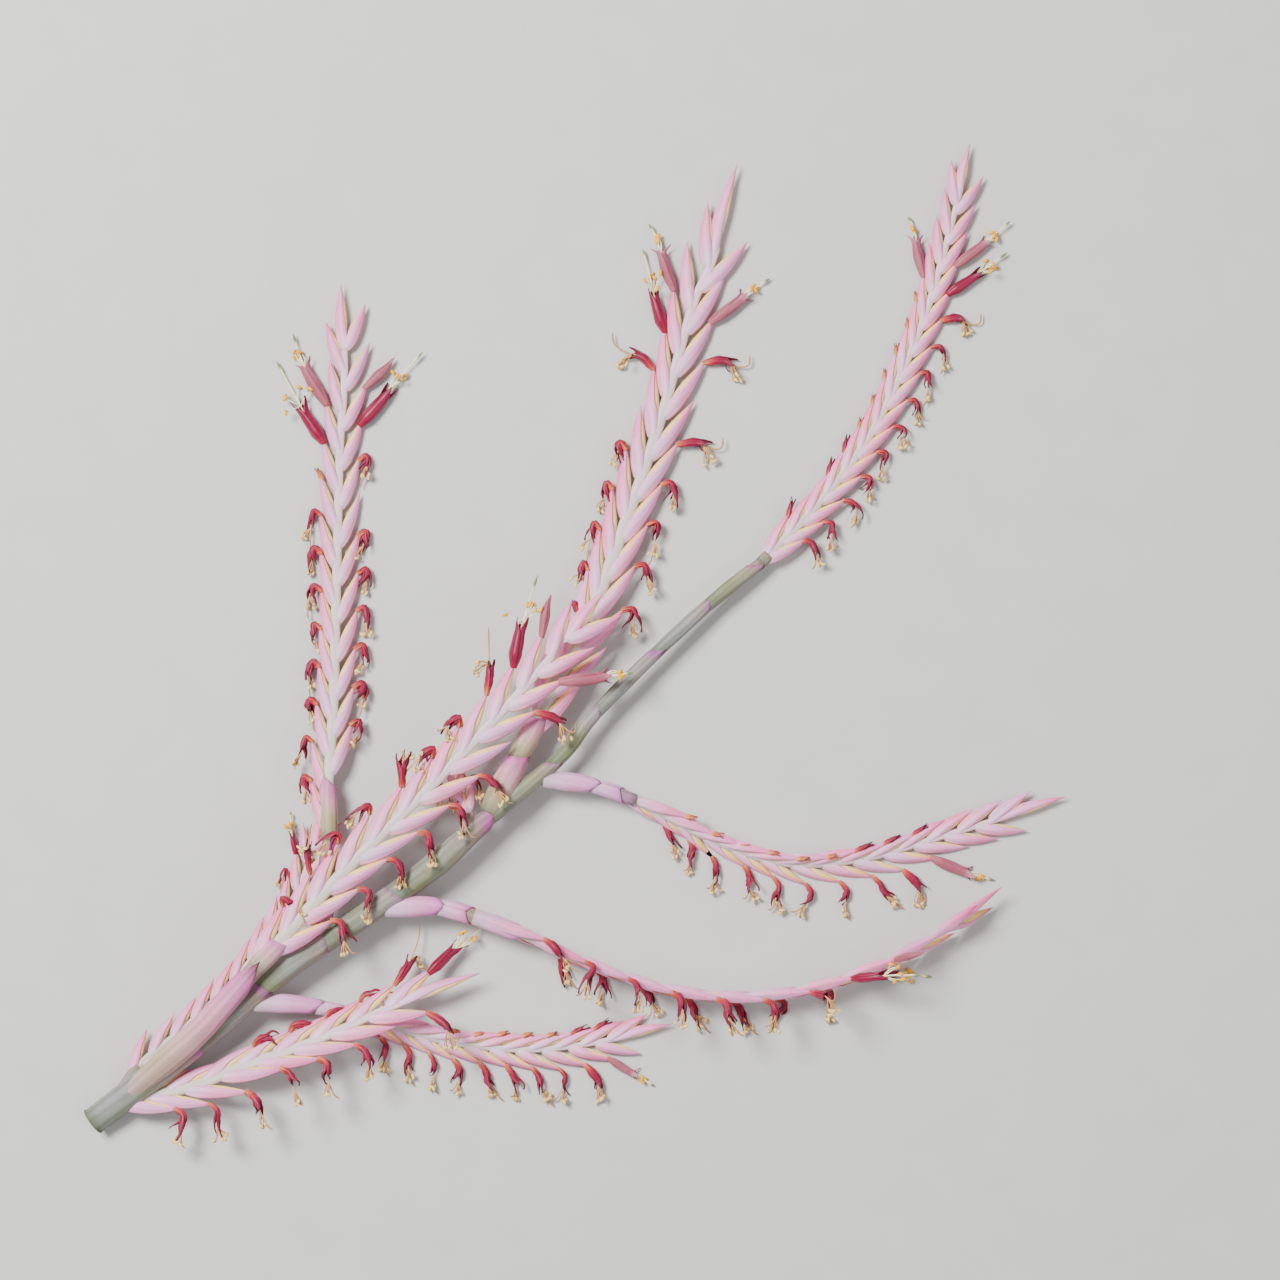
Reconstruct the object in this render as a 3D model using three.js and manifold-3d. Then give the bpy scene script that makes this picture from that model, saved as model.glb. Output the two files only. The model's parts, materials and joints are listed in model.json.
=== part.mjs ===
// A cut, branched flower stalk of an air plant, lying on a flat surface.
// Millimetres, +Z up. The stalk lies roughly in the XY plane, and +Y is up on the growing plant.
import * as THREE from 'three';
import { mergeVertices } from 'three/addons/utils/BufferGeometryUtils.js';
import Module from 'manifold-3d';

const wasm = await Module();
wasm.setup();

const UP = new THREE.Vector3(0, 0, 1);
const HANG = new THREE.Vector3(0, -1, 0);

// Gaps and sides that hold for the whole stalk
const JOINT_GAP = 0.35;
const STEM_SIDES = 8;
const STALK_SIDES = 6;
const RING_SPACING = 12;
const LONG_SHEATH = 18;
const MOUTH_STEP = 0.2;
const LOWEST_FLOWER = 1.7;

// The middle of the whole stalk's outline, which is set on the origin
const MIDDLE = { x: -1.26, y: -2.35 };

// Stations along a bract: the share of its length, and the shares of its depth and width there
const BRACT_STATIONS = [[0, 0.4, 0.6], [0.34, 1, 1], [0.74, 0.68, 0.62]];
const BRACT_MOUTH = [0.92, 0.4, 0.42];

// The main stem: the points of its axis from the cut end to the foot of the end spike, its radius from
// foot to top, and the mouths of the sheaths that clasp it, each with the distance of its tip along the
// axis, how far it stands off the stem, and the side, in degrees round the stem, that its tip is on.
const STEM = {
  axis: [
    [-156, -155.5, 4.1], [-124, -131, 8.5], [-96, -107.5, 10.5], [-83, -98.5, 11], [-64, -86, 11],
    [-45, -72, 11], [-32, -60.5, 11], [-7, -39.5, 10], [3, -27, 9.4], [15.5, -14, 8.7],
    [28.5, -1.5, 7.8], [43, 11.5, 6.4], [58, 23.5, 5],
  ],
  radius: [4.3, 4.3, 3.9, 3.7, 3.5, 2.3, 2.1, 2, 2],
  mouths: [
    [46, 0.4, 70], [72, 0.5, -60], [98, 0.4, 70], [124, 0.4, -70], [166, 0.6, 80], [190, 0.4, -60],
    [213, 0.3, 60], [239, 0.3, -50], [262, 0.3, 60], [281, 0.3, -60],
  ],
};

// Each spike: the points of its axis, the radius of its stalk from foot to tip, its roll about the axis in
// degrees from foot to tip, where its bract tips stand along the axis, the length, depth, width and spread
// in degrees of its bracts, and the size of its spent and standing flowers. Each rank lists its flowers
// from foot to tip: - no bract, . bare, d dried, s shrivelled stub, r red stub, w wilting, o open, f fresh,
// b bud and c closed. The mouths are those of the sheaths round its stalk, listed as for the main stem.
const SPIKES = {
  a: {
    axis: [
      [-83, -99, 11], [-80, -68.5, 10.5], [-80.5, -50, 8], [-79, -21, 4.2],
      [-78, 20, 2.6], [-77, 59.5, 2.1], [-75.5, 84.5, 2.4], [-76.5, 113, 3],
    ],
    radius: [2.5, 2.4, 2, 1.4], roll: [0, 0],
    tips: { first: 54.5, step: 12.15, stagger: 0.5 },
    bract: { length: 18, depth: 4.2, width: 4.5, spread: { left: 19, right: 24 } },
    flower: { spent: 0.9, standing: 1.1 },
    ranks: { first: 'left', left: 'ddddddddsofcc', right: '-dddddd.dobcc' },
    mouths: [[18, 1, 90], [37, 0.5, -90], [57, 0.5, 90]],
  },
  b: {
    axis: [
      [-147, -149, 6], [-124, -128.5, 13], [-113.5, -117.5, 15.5], [-101.5, -104, 17], [-75, -75, 17.5],
      [-47, -47.5, 17.5], [-20, -19, 17.5], [-1.5, 2, 16.5], [8, 14.5, 15.5],
    ],
    radius: [3, 3, 2.3, 1.5], roll: [0, 0],
    tips: { first: 85, step: 13.3, stagger: 0.5 },
    bract: { length: 22, depth: 5, width: 5, spread: { left: 21, right: 24 } },
    flower: { spent: 1, standing: 1.1 },
    ranks: { first: 'left', left: 'dddddddwobc', right: 'dddddd.wfcc' },
    mouths: [[66, 1.3, 90], [76, 0.5, -90]],
  },
  c: {
    axis: [
      [-29, -56.5, 11], [-21, -41.5, 10.5], [-11, -21.5, 9.5], [0, -1.5, 8], [13, 32, 5],
      [26, 70, 3], [36, 105.5, 2.4], [43, 122, 2.7], [50.5, 151.5, 3.2],
    ],
    radius: [3, 3, 2.3, 1.5], roll: [0, 0],
    tips: { first: 51.2, step: 13.7, stagger: 0.5 },
    bract: { length: 23, depth: 5, width: 5, spread: { left: 21, right: 21 } },
    flower: { spent: 1, standing: 1 },
    ranks: { first: 'right', left: '.ddddd.wofcc', right: '..ddddw.wfcc' },
    mouths: [[22, 1.4, 90], [36, 0.8, -90]],
  },
  e: {
    axis: [
      [-150, -150.5, 5], [-141, -137.5, 3.6], [-124, -123.5, 2.6], [-107, -106, 2.3], [-92, -84.5, 2.3],
      [-84, -63.5, 2.5], [-81.5, -54.5, 2.7],
    ],
    radius: [1.9, 1.8, 1.5, 1], roll: [0, 0],
    tips: { first: 26, step: 8.72, stagger: 0.5 },
    bract: { length: 14, depth: 3.6, width: 3.9, spread: { left: 24, right: 24 } },
    flower: { spent: 0.6, standing: 0.5 },
    ranks: { first: 'left', left: '........doc', right: '.........cc' },
    mouths: [],
  },
  f: {
    axis: [
      [58, 23.5, 5], [75.5, 41.5, 3.6], [90, 60, 2.7], [100, 78, 2.3], [111, 104, 1.9],
      [120.5, 137.5, 2.4], [125, 158, 2.8],
    ],
    radius: [2.1, 2, 1.7, 1.1], roll: [0, 0],
    tips: { first: 13.4, step: 9.2, stagger: 0.5 },
    bract: { length: 16, depth: 3.8, width: 4.1, spread: { left: 19, right: 20 } },
    flower: { spent: 0.75, standing: 0.9 },
    ranks: { first: 'right', left: 'r.rrssssssfcccc', right: 'dddddddddwofccc' },
    mouths: [],
  },
  g: {
    axis: [
      [-12, -46, 10], [0, -47, 9], [11.5, -50, 7.5], [25.5, -56.5, 5.5], [38.5, -63.5, 3.8],
      [64, -72.5, 3], [89.5, -71.5, 2.4], [115, -64.5, 1.95], [141, -56.5, 2.4], [156, -51.5, 2.9],
    ],
    radius: [2.2, 2.1, 1.7, 1.1], roll: [60, 50, 25, 5, 0],
    tips: { first: 43.9, step: 9.8, stagger: 0.5 },
    bract: { length: 17.5, depth: 4, width: 4.2, spread: { left: 17, right: 21 } },
    flower: { spent: 0.85, standing: 0.95 },
    ranks: { first: 'right', left: 'ssssssrrrcccc', right: 'ddddddddwfccc' },
    mouths: [[19, 0.9, 90], [30, 0.4, -90]],
  },
  h: {
    axis: [
      [-62.5, -87, 11], [-45, -86.5, 10.5], [-25.5, -92.5, 10], [0, -103.5, 9.3], [25.5, -112, 8.8],
      [51, -115, 8.6], [77, -111.5, 8.6], [102.5, -102, 8.6], [125, -88.5, 8.3], [135, -80, 8],
    ],
    radius: [2.6, 2.5, 1.8, 1.2], roll: [70, 82, 86, 80, 60],
    tips: { first: 54.1, step: 14.7, stagger: 0.3 },
    bract: { length: 21, depth: 4.4, width: 4.4, spread: { left: 19, right: 19 } },
    flower: { spent: 0.95, standing: 0.85 },
    ranks: { first: 'left', left: 'ddddddwobcc', right: 'dddddddoccc' },
    mouths: [[20, 0.8, 90], [32, 0.5, -90], [47, 0.4, 90]],
  },
  i: {
    axis: [
      [-105, -117.5, 10], [-93, -117.5, 8], [-80, -119.5, 5.4], [-64, -124, 3.6], [-41.5, -130, 2.6],
      [-16, -132.5, 2.3], [9.5, -129.5, 1.9], [29.5, -124.5, 2.4],
    ],
    radius: [2.4, 2.1, 1.6, 1.1], roll: [40, 30, 5, 0],
    tips: { first: 45.4, step: 8.1, stagger: 0.5 },
    bract: { length: 16, depth: 3.8, width: 4.1, spread: { left: 20, right: 23 } },
    flower: { spent: 0.8, standing: 0.7 },
    ranks: { first: 'right', left: '..sssssrrcc', right: 'ddddddddwfc' },
    mouths: [[24, 0.8, 90], [36, 0.4, -90]],
  },
  j: {
    axis: [
      [-148, -149.5, 5], [-124, -144, 7.5], [-109, -138, 9.5], [-85.5, -129.5, 11], [-60.5, -118.5, 11],
      [-41.5, -111, 9.5], [-31.5, -107.5, 9],
    ],
    radius: [2.6, 2.5, 2, 1.3], roll: [-25, -25],
    tips: { first: 18.5, step: 12.4, stagger: 0.5 },
    bract: { length: 21, depth: 4.8, width: 4.8, spread: { left: 20, right: 20 } },
    flower: { spent: 1, standing: 0.95 },
    ranks: { first: 'right', left: '.dddddwo', right: 'dddddd.w' },
    mouths: [],
  },
  k: {
    axis: [[-38, -63, 11], [-35, -58, 11], [-37.5, -51.5, 10.8], [-41, -45.5, 10.5], [-44, -39, 10]],
    radius: [1.8, 1.7, 1.3, 1], roll: [0, 0],
    tips: { first: 15, step: 5.6, stagger: 0.5 },
    bract: { length: 10, depth: 3, width: 3.2, spread: { left: 22, right: 26 } },
    flower: { spent: 0.6, standing: 0.6 },
    ranks: { first: 'left', left: 'dd', right: 'dd' },
    mouths: [],
  },
};

// Blends between listed values that are spaced evenly from 0 to 1
function blend(values, t) {
  const place = THREE.MathUtils.clamp(t, 0, 1) * (values.length - 1);
  const low = Math.min(Math.floor(place), values.length - 2);
  return THREE.MathUtils.lerp(values[low], values[low + 1], place - low);
}

// A small steady variation from -1 to 1, different for each repeat
function sway(repeat, kind) {
  return Math.sin(7.3 * repeat + 3.1 * kind);
}

// A closed body through rings of points, where a last ring of one point is a tip
function loft(rings) {
  const positions = [];
  const starts = [];
  for (const ring of rings) {
    starts.push(positions.length / 3);
    ring.forEach((point) => positions.push(...point.toArray()));
  }
  const sides = rings[0].length;
  const faces = [];
  for (let level = 0; level + 1 < rings.length; level += 1) {
    const low = starts[level];
    const high = starts[level + 1];
    for (let side = 0; side < sides; side += 1) {
      const next = (side + 1) % sides;
      if (rings[level + 1].length === 1) {
        faces.push(low + side, low + next, high);
      } else {
        faces.push(low + side, low + next, high + next, low + side, high + next, high + side);
      }
    }
  }
  for (let side = 1; side + 1 < sides; side += 1) {
    faces.push(0, side + 1, side);
    if (rings.at(-1).length > 1) {
      const last = starts.at(-1);
      faces.push(last, last + side, last + side + 1);
    }
  }
  const geometry = new THREE.BufferGeometry();
  geometry.setAttribute('position', new THREE.Float32BufferAttribute(positions, 3));
  geometry.setIndex(faces);
  return geometry;
}

// Six times the signed volume, which is negative where the faces point in
function signedVolume(geometry) {
  const place = geometry.getAttribute('position');
  const corner = (which) => new THREE.Vector3().fromBufferAttribute(place, geometry.index.getX(which));
  let total = 0;
  for (let start = 0; start < geometry.index.count; start += 3) {
    total += corner(start).dot(corner(start + 1).cross(corner(start + 2)));
  }
  return total;
}

// A geometry as a solid that can be joined and cut
function solidOf(geometry) {
  const bare = geometry.clone();
  bare.deleteAttribute('normal');
  bare.deleteAttribute('uv');
  const merged = mergeVertices(bare, 1e-4);
  const triVerts = new Uint32Array(merged.index.array);
  if (signedVolume(merged) < 0) {
    triVerts.reverse();
  }
  const vertProperties = new Float32Array(merged.getAttribute('position').array);
  return new wasm.Manifold(new wasm.Mesh({ numProp: 3, vertProperties, triVerts }));
}

// Joins solids pair by pair, so that each join stays small
function joined(solids) {
  let left = solids;
  while (left.length > 1) {
    const next = [];
    for (let place = 0; place < left.length; place += 2) {
      next.push(place + 1 < left.length ? left[place].add(left[place + 1]) : left[place]);
    }
    left = next;
  }
  return left[0];
}

// The largest body of a solid, so that no loose scrap is left beside it
function largestBody(solid) {
  return solid.decompose().sort((one, other) => other.volume() - one.volume())[0];
}

// A smooth axis that gives its place and directions at any distance along it
function axisOf(points, rolls) {
  const curve = new THREE.CatmullRomCurve3(points.map((point) => new THREE.Vector3(...point)), false, 'catmullrom');
  curve.arcLengthDivisions = 60 * points.length;
  const length = curve.getLength();
  const frameAt = (distance) => {
    const share = THREE.MathUtils.clamp(distance / length, 0, 1);
    const along = curve.getTangentAt(share).normalize();
    const face = UP.clone().addScaledVector(along, -UP.dot(along)).normalize();
    face.applyAxisAngle(along, THREE.MathUtils.degToRad(blend(rolls, share)));
    const left = face.clone().cross(along);
    return { place: curve.getPointAt(share), along, face, left };
  };
  return { length, frameAt };
}

// A ring of points round an axis, each moved along it by what slant gives for its angle
function ringAt(frame, radius, sides, slant = () => 0) {
  return Array.from({ length: sides }, (_, side) => {
    const angle = (2 * Math.PI * side) / sides;
    return frame.place.clone()
      .addScaledVector(frame.face, radius * Math.cos(angle))
      .addScaledVector(frame.left, radius * Math.sin(angle))
      .addScaledVector(frame.along, slant(angle));
  });
}

// A stalk in one body with the sheaths that clasp it. Each sheath swells off the stalk up to its mouth,
// which slants to a pointed tip on one side, and the stalk goes on, slimmer, out of the mouth.
function stalk(axis, radii, mouths, end, sides, grow = 0) {
  const radiusAt = (distance) => blend(radii, distance / axis.length) + grow;
  const rings = [ringAt(axis.frameAt(0), radiusAt(0), sides)];
  let last = 0;
  for (const [tip, swell, turn] of mouths) {
    const run = tip - last;
    const tipAngle = THREE.MathUtils.degToRad(turn);
    const slant = (angle) => -0.2 * run * (1 - Math.cos(angle - tipAngle));
    for (const share of run > LONG_SHEATH ? [0.2, 0.45] : [0.35]) {
      const distance = last + share * run;
      rings.push(ringAt(axis.frameAt(distance), radiusAt(distance) + share * swell, sides));
    }
    rings.push(ringAt(axis.frameAt(tip + grow), radiusAt(tip) + swell, sides, slant));
    rings.push(ringAt(axis.frameAt(tip + grow + MOUTH_STEP), radiusAt(tip), sides, slant));
    last = tip;
  }
  const steps = Math.max(1, Math.round((end - last) / RING_SPACING));
  for (let step = 1; step <= steps; step += 1) {
    const distance = THREE.MathUtils.lerp(last, end, step / steps);
    const past = step === steps ? grow : 0;
    rings.push(ringAt(axis.frameAt(distance), radiusAt(distance), sides, () => past));
  }
  return loft(rings);
}

// The bracts of a spike in order from foot to tip, each with its place, directions and flower
function unitsOf(spike, axis) {
  const { tips, bract, ranks } = spike;
  const order = ranks.first === 'left' ? ['left', 'right'] : ['right', 'left'];
  const units = [];
  for (let pair = 0; pair < ranks.left.length; pair += 1) {
    order.forEach((rank, second) => {
      const reach = tips.first + tips.step * (pair + second * tips.stagger);
      const flower = ranks[rank][pair];
      if (flower === '-') {
        return;
      }
      const share = reach / axis.length;
      const length = bract.length * (1 - 0.2 * share ** 6);
      const spread = THREE.MathUtils.degToRad(bract.spread[rank] + 1.5 * sway(pair, second));
      const frame = axis.frameAt(reach - length * Math.cos(spread));
      const out = frame.left.clone().multiplyScalar(rank === 'left' ? 1 : -1);
      const size = { ...bract, ...spike.flower, length };
      units.push(unitAt(frame, out, spread, size, flower, 2 * pair + second));
    });
  }
  const lastTip = tips.first + tips.step * (ranks.left.length - 1 + tips.stagger);
  const endRoot = lastTip - 0.72 * bract.length;
  const size = { length: axis.length - endRoot, depth: 0.8 * bract.depth, width: 0.8 * bract.width };
  const end = axis.frameAt(endRoot);
  units.push(unitAt(end, end.left, 0, size, 'c', 0));
  return units;
}

// One bract's own directions: along it to its tip, towards its keel, and square to its side
function unitAt(frame, out, spread, size, flower, count) {
  const along = frame.along.clone().multiplyScalar(Math.cos(spread)).addScaledVector(out, Math.sin(spread));
  const keel = out.clone().multiplyScalar(Math.cos(spread)).addScaledVector(frame.along, -Math.sin(spread));
  const rootShift = spread > 0 ? 0.3 * size.depth : 0;
  const root = frame.place.clone().addScaledVector(out, -rootShift);
  const tip = root.clone().addScaledVector(along, size.length);
  return { root, tip, along, keel, side: frame.face, size, flower, count };
}

// A four-cornered ring of a bract, given in its directions: keel, side, groove and other side
function bractRing(unit, [share, deep, wide]) {
  const { length, depth, width } = unit.size;
  const centre = unit.root.clone()
    .addScaledVector(unit.along, share * length)
    .addScaledVector(unit.keel, 0.035 * length * Math.sin(Math.PI * share));
  return [[0.58, 0], [0, 0.5], [-0.42, 0], [0, -0.5]].map(([towardKeel, sideways]) => centre.clone()
    .addScaledVector(unit.keel, towardKeel * depth * deep)
    .addScaledVector(unit.side, sideways * width * wide));
}

// Rings of a flower along a path that starts at a bract's tip and turns with it. A radius of 0 is a tip.
function flowerRings(unit, points, radii) {
  const keel = unit.keel.clone();
  const side = unit.side.clone();
  let way = unit.along.clone();
  return points.map((place, step) => {
    const behind = step > 0 ? points[step - 1] : place.clone().addScaledVector(unit.along, -1);
    const ahead = points[Math.min(step + 1, points.length - 1)];
    const turned = ahead.clone().sub(behind).normalize();
    const turn = new THREE.Quaternion().setFromUnitVectors(way, turned);
    keel.applyQuaternion(turn);
    side.applyQuaternion(turn);
    way = turned;
    if (radii[step] === 0) {
      return [place];
    }
    return [[keel, 1], [side, 1], [keel, -1], [side, -1]].map(([direction, sign]) => {
      return place.clone().addScaledVector(direction, sign * radii[step]);
    });
  });
}

// The way a flower leaves its bract: out past the keel, along the bract, and a little downwards
function exitOf(unit) {
  return unit.keel.clone().multiplyScalar(0.7)
    .addScaledVector(unit.along, 0.6)
    .addScaledVector(HANG, 0.35)
    .normalize();
}

// A point reached from a start by steps along given directions, and never under the lowest flower
function pointFrom(start, ...moves) {
  const point = start.clone();
  moves.forEach(([direction, distance]) => point.addScaledVector(direction, distance));
  point.z = Math.max(point.z, LOWEST_FLOWER);
  return point;
}

// A spent flower that hangs from its bract: the bent petals, and the tuft of dry stamens under them
function driedFlower(unit) {
  const exit = exitOf(unit);
  const big = unit.size.spent;
  const drift = 0.8 * sway(unit.count, 1);
  const drop = 1 + 0.15 * sway(unit.count, 2);
  const lift = Math.max(0, -unit.keel.dot(HANG)) * 3.2;
  const bend = pointFrom(unit.tip, [exit, 2.6 * big], [UP, lift], [HANG, 0.6]);
  return flowerRings(unit, [
    pointFrom(unit.tip, [unit.along, -0.6]),
    bend,
    pointFrom(bend, [HANG, 4.8 * drop * big], [exit, 0.5], [unit.along, drift]),
    pointFrom(bend, [HANG, 9.6 * drop * big], [unit.along, -drift]),
  ], [0.6, 1.2 * big, 1.05 * big, 0]);
}

// A wilting flower still stands out from its bract, with its stamens hanging from the mouth
function wiltingFlower(unit) {
  const exit = exitOf(unit);
  const big = unit.size.spent;
  const mouth = pointFrom(unit.tip, [exit, 7.5 * big], [unit.along, 1]);
  return flowerRings(unit, [
    pointFrom(unit.tip, [unit.along, -0.6]),
    pointFrom(unit.tip, [exit, 4.5 * big], [unit.along, 1]),
    mouth,
    pointFrom(mouth, [exit, 2.2 * big], [HANG, 2 * big]),
    pointFrom(mouth, [exit, 2.8 * big], [HANG, 6.5 * big]),
  ], [0.7, 1.3, 0.9, 0.7, 0]);
}

// A stub that stays in the mouth of its bract, shrivelled or red
function stubFlower(unit) {
  const reach = unit.flower === 'r' ? 5 : 2.8;
  return flowerRings(unit, [
    pointFrom(unit.tip, [unit.along, -0.4]),
    pointFrom(unit.tip, [unit.along, reach], [unit.keel, 0.3 * reach]),
  ], [0.8, 0]);
}

// An open, fresh or budding flower: a tube from the bract's mouth, then its stamens and the longer style
function standingFlower(unit) {
  const seat = pointFrom(unit.tip, [unit.along, 1.3 * JOINT_GAP - 0.08 * unit.size.length], [unit.keel, 0.3]);
  const big = unit.size.standing;
  const length = (unit.flower === 'b' ? 11 : 12.5) * big;
  const lean = 0.13 * (1 - Math.abs(unit.keel.z));
  const way = unit.along.clone().addScaledVector(unit.keel, lean).addScaledVector(HANG, 0.15).normalize();
  const points = [
    seat,
    pointFrom(seat, [unit.along, 3.5 * big], [unit.keel, big]),
    pointFrom(seat, [way, 0.7 * length], [unit.keel, 1.2 * big]),
    pointFrom(seat, [way, length], [unit.keel, big]),
  ];
  const radii = [0.5, 0.9, 1.5, unit.flower === 'b' ? 0 : 1.1];
  if (unit.flower !== 'b') {
    points.push(
      pointFrom(seat, [way, length + 2 * big], [unit.keel, 1.2 * big]),
      pointFrom(seat, [way, length + 4.4 * big], [unit.keel, 1.6 * big]),
      pointFrom(seat, [way, length + 6 * big], [unit.keel, 1.2 * big]),
      pointFrom(seat, [way, length + 9.5 * big], [unit.keel, 0.2 * big]),
    );
    radii.push(0.6, 1.2, 0.4, 0);
  }
  return loft(flowerRings(unit, points, radii.map((radius) => big * radius)));
}

const SPENT = { d: driedFlower, w: wiltingFlower, s: stubFlower, r: stubFlower };
const STANDING = 'ofb';

// A folded bract: a keeled boat shape that wraps the stalk at its foot. It narrows to its own point, runs
// on into a spent flower, or ends in a small mouth where a standing flower is seated.
function bractBody(unit) {
  const rings = BRACT_STATIONS.map((station) => bractRing(unit, station));
  if (SPENT[unit.flower]) {
    rings.push(...SPENT[unit.flower](unit));
  } else if (STANDING.includes(unit.flower)) {
    rings.push(bractRing(unit, BRACT_MOUTH));
  } else {
    rings.push([unit.tip]);
  }
  return loft(rings);
}

// Everything that lies under the surface, to be cut away where a spike presses on it
function underSurface() {
  const depth = 20;
  const slab = new THREE.BoxGeometry(600, 600, depth);
  slab.translate(0, 0, -0.5 * depth);
  return solidOf(slab);
}

// The main stem with its sheaths, made thicker all round by grow
function stemSolid(grow) {
  const axis = axisOf(STEM.axis, [0, 0]);
  return solidOf(stalk(axis, STEM.radius, STEM.mouths, axis.length, STEM_SIDES, grow));
}

// A spike as one grown body: stalk, sheaths, bracts and spent flowers, cut clear of the stem. Its stalk
// runs in among the first bracts, whose feet overlap from there on and make its zigzag axis.
function spikeSolid(spike, axis, units, keepClear) {
  const end = spike.tips.first - 0.55 * spike.bract.length;
  const bodies = [stalk(axis, spike.radius, spike.mouths, end, STALK_SIDES), ...units.map(bractBody)];
  return largestBody(joined(bodies.map(solidOf)).subtract(keepClear));
}

// A named mesh of a solid, with a material of its own
function meshOf(solid, name, colour, roughness) {
  const { vertProperties, triVerts } = solid.getMesh();
  const geometry = new THREE.BufferGeometry();
  geometry.setAttribute('position', new THREE.Float32BufferAttribute(vertProperties, 3));
  geometry.setIndex(new THREE.BufferAttribute(new Uint32Array(triVerts), 1));
  geometry.computeVertexNormals();
  const material = new THREE.MeshStandardMaterial({ color: colour, roughness, metalness: 0 });
  const mesh = new THREE.Mesh(geometry, material);
  mesh.name = name;
  return mesh;
}

const STEM_COLOUR = '#b4b9aa';
const BRACT_COLOUR = '#f0cde1';
const BLOOM_COLOURS = { o: '#c81941', f: '#c07a88', b: '#b9737f' };

const flowerStalk = new THREE.Group();
const surface = underSurface();
flowerStalk.add(meshOf(stemSolid(0).subtract(surface), 'main_stem', STEM_COLOUR, 0.6));
const stemClearance = stemSolid(JOINT_GAP);

for (const [letter, spike] of Object.entries(SPIKES)) {
  const axis = axisOf(spike.axis, spike.roll);
  const units = unitsOf(spike, axis);
  const body = spikeSolid(spike, axis, units, stemClearance.add(surface));
  flowerStalk.add(meshOf(body, `spike_${letter}`, BRACT_COLOUR, 0.55));
  units.filter((unit) => STANDING.includes(unit.flower)).forEach((unit, place) => {
    const bloom = solidOf(standingFlower(unit)).subtract(surface);
    flowerStalk.add(meshOf(bloom, `bloom_${letter}${place + 1}`, BLOOM_COLOURS[unit.flower], 0.5));
  });
}

flowerStalk.position.set(-MIDDLE.x, -MIDDLE.y, 0);

export default flowerStalk;
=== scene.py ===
# %% [markdown]
# ## A cut flower stalk, lying on a pale table
# The solids of this flower stalk come in first, as a fixed frame: one grey-green stem, ten flat spikes of folded
# bracts, and a few open flowers. Everything that follows is a finer skin laid over them, in metres, at the same
# places.

import json
import math

import bpy
import numpy as np
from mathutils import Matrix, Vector

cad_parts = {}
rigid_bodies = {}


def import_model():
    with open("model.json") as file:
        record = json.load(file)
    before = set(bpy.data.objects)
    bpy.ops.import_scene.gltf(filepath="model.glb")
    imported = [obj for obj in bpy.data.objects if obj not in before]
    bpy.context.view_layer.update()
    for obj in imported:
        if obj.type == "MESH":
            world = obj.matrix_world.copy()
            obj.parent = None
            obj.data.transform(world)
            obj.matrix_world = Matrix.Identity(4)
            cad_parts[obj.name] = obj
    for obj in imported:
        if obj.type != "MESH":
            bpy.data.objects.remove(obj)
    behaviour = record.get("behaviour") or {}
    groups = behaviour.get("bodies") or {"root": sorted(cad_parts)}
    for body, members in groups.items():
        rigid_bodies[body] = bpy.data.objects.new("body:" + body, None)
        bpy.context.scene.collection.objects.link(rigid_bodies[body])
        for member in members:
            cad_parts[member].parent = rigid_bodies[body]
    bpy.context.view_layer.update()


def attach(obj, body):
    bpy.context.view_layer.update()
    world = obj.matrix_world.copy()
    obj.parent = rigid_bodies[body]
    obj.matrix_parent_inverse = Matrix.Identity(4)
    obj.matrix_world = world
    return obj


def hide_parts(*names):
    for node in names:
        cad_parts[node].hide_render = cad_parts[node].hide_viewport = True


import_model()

# %% [markdown]
# The plant was measured in millimetres from the middle of the photograph, so the same measures are used here and
# turned into metres only when a mesh is made. MIDDLE is the centre of the outline, which sits on the origin.

# %% Measures that hold for the whole stalk
MM = 0.001
MIDDLE = np.array([-1.26, -2.35, 0.0])
UP = np.array([0.0, 0.0, 1.0])
HANG = np.array([0.0, -1.0, 0.0])
LOWEST_FLOWER = 1.7
PRESS_FROM, PRESS_BY = 20.0, 0.64
chance = np.random.default_rng(11)

STEM = {
    "axis": [
        [-156, -155.5, 4.1], [-124, -131, 8.5], [-96, -107.5, 10.5], [-83, -98.5, 11], [-64, -86, 11],
        [-45, -72, 11], [-32, -60.5, 11], [-7, -39.5, 10], [3, -27, 9.4], [15.5, -14, 8.7],
        [28.5, -1.5, 7.8], [43, 11.5, 6.4], [58, 23.5, 5],
    ],
    "radius": [4.3, 4.3, 3.9, 3.7, 3.5, 2.3, 2.1, 2, 2],
    "mouths": [
        [46, 0.4, 70, 5], [72, 0.5, -60, 4], [98, 0.4, 70, 5], [124, 0.4, -70, 4], [166, 0.6, 80, 7],
        [190, 0.4, -60, 6], [213, 0.3, 60, 6], [239, 0.3, -50, 6], [262, 0.3, 60, 6], [281, 0.3, -60, 6],
    ],
}

# %% [markdown]
# Each spike is two-ranked: its bracts stand left and right in turn. A spike is set down as the points of its
# axis, the radius of its stalk, its roll, the first bract tip and the step between tips, the bract's length,
# depth, width and spread in degrees, and the size of its flowers. The ranks list the flowers from foot to tip:
# - no bract, . bare, d dried, s shrivelled stub, r red stub, w wilting, o open, f fresh, b bud and c closed.

# %% The ten spikes
def spike(axis, radius, roll, tips, bract, spread, flowers, first, left, right, mouths=()):
    """One spike's measures under plain names."""
    return {
        "axis": axis, "radius": radius, "roll": roll, "tips": tips, "bract": bract,
        "spread": {"left": spread[0], "right": spread[1]}, "flowers": flowers,
        "ranks": {"first": first, "left": left, "right": right}, "mouths": mouths,
    }


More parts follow.
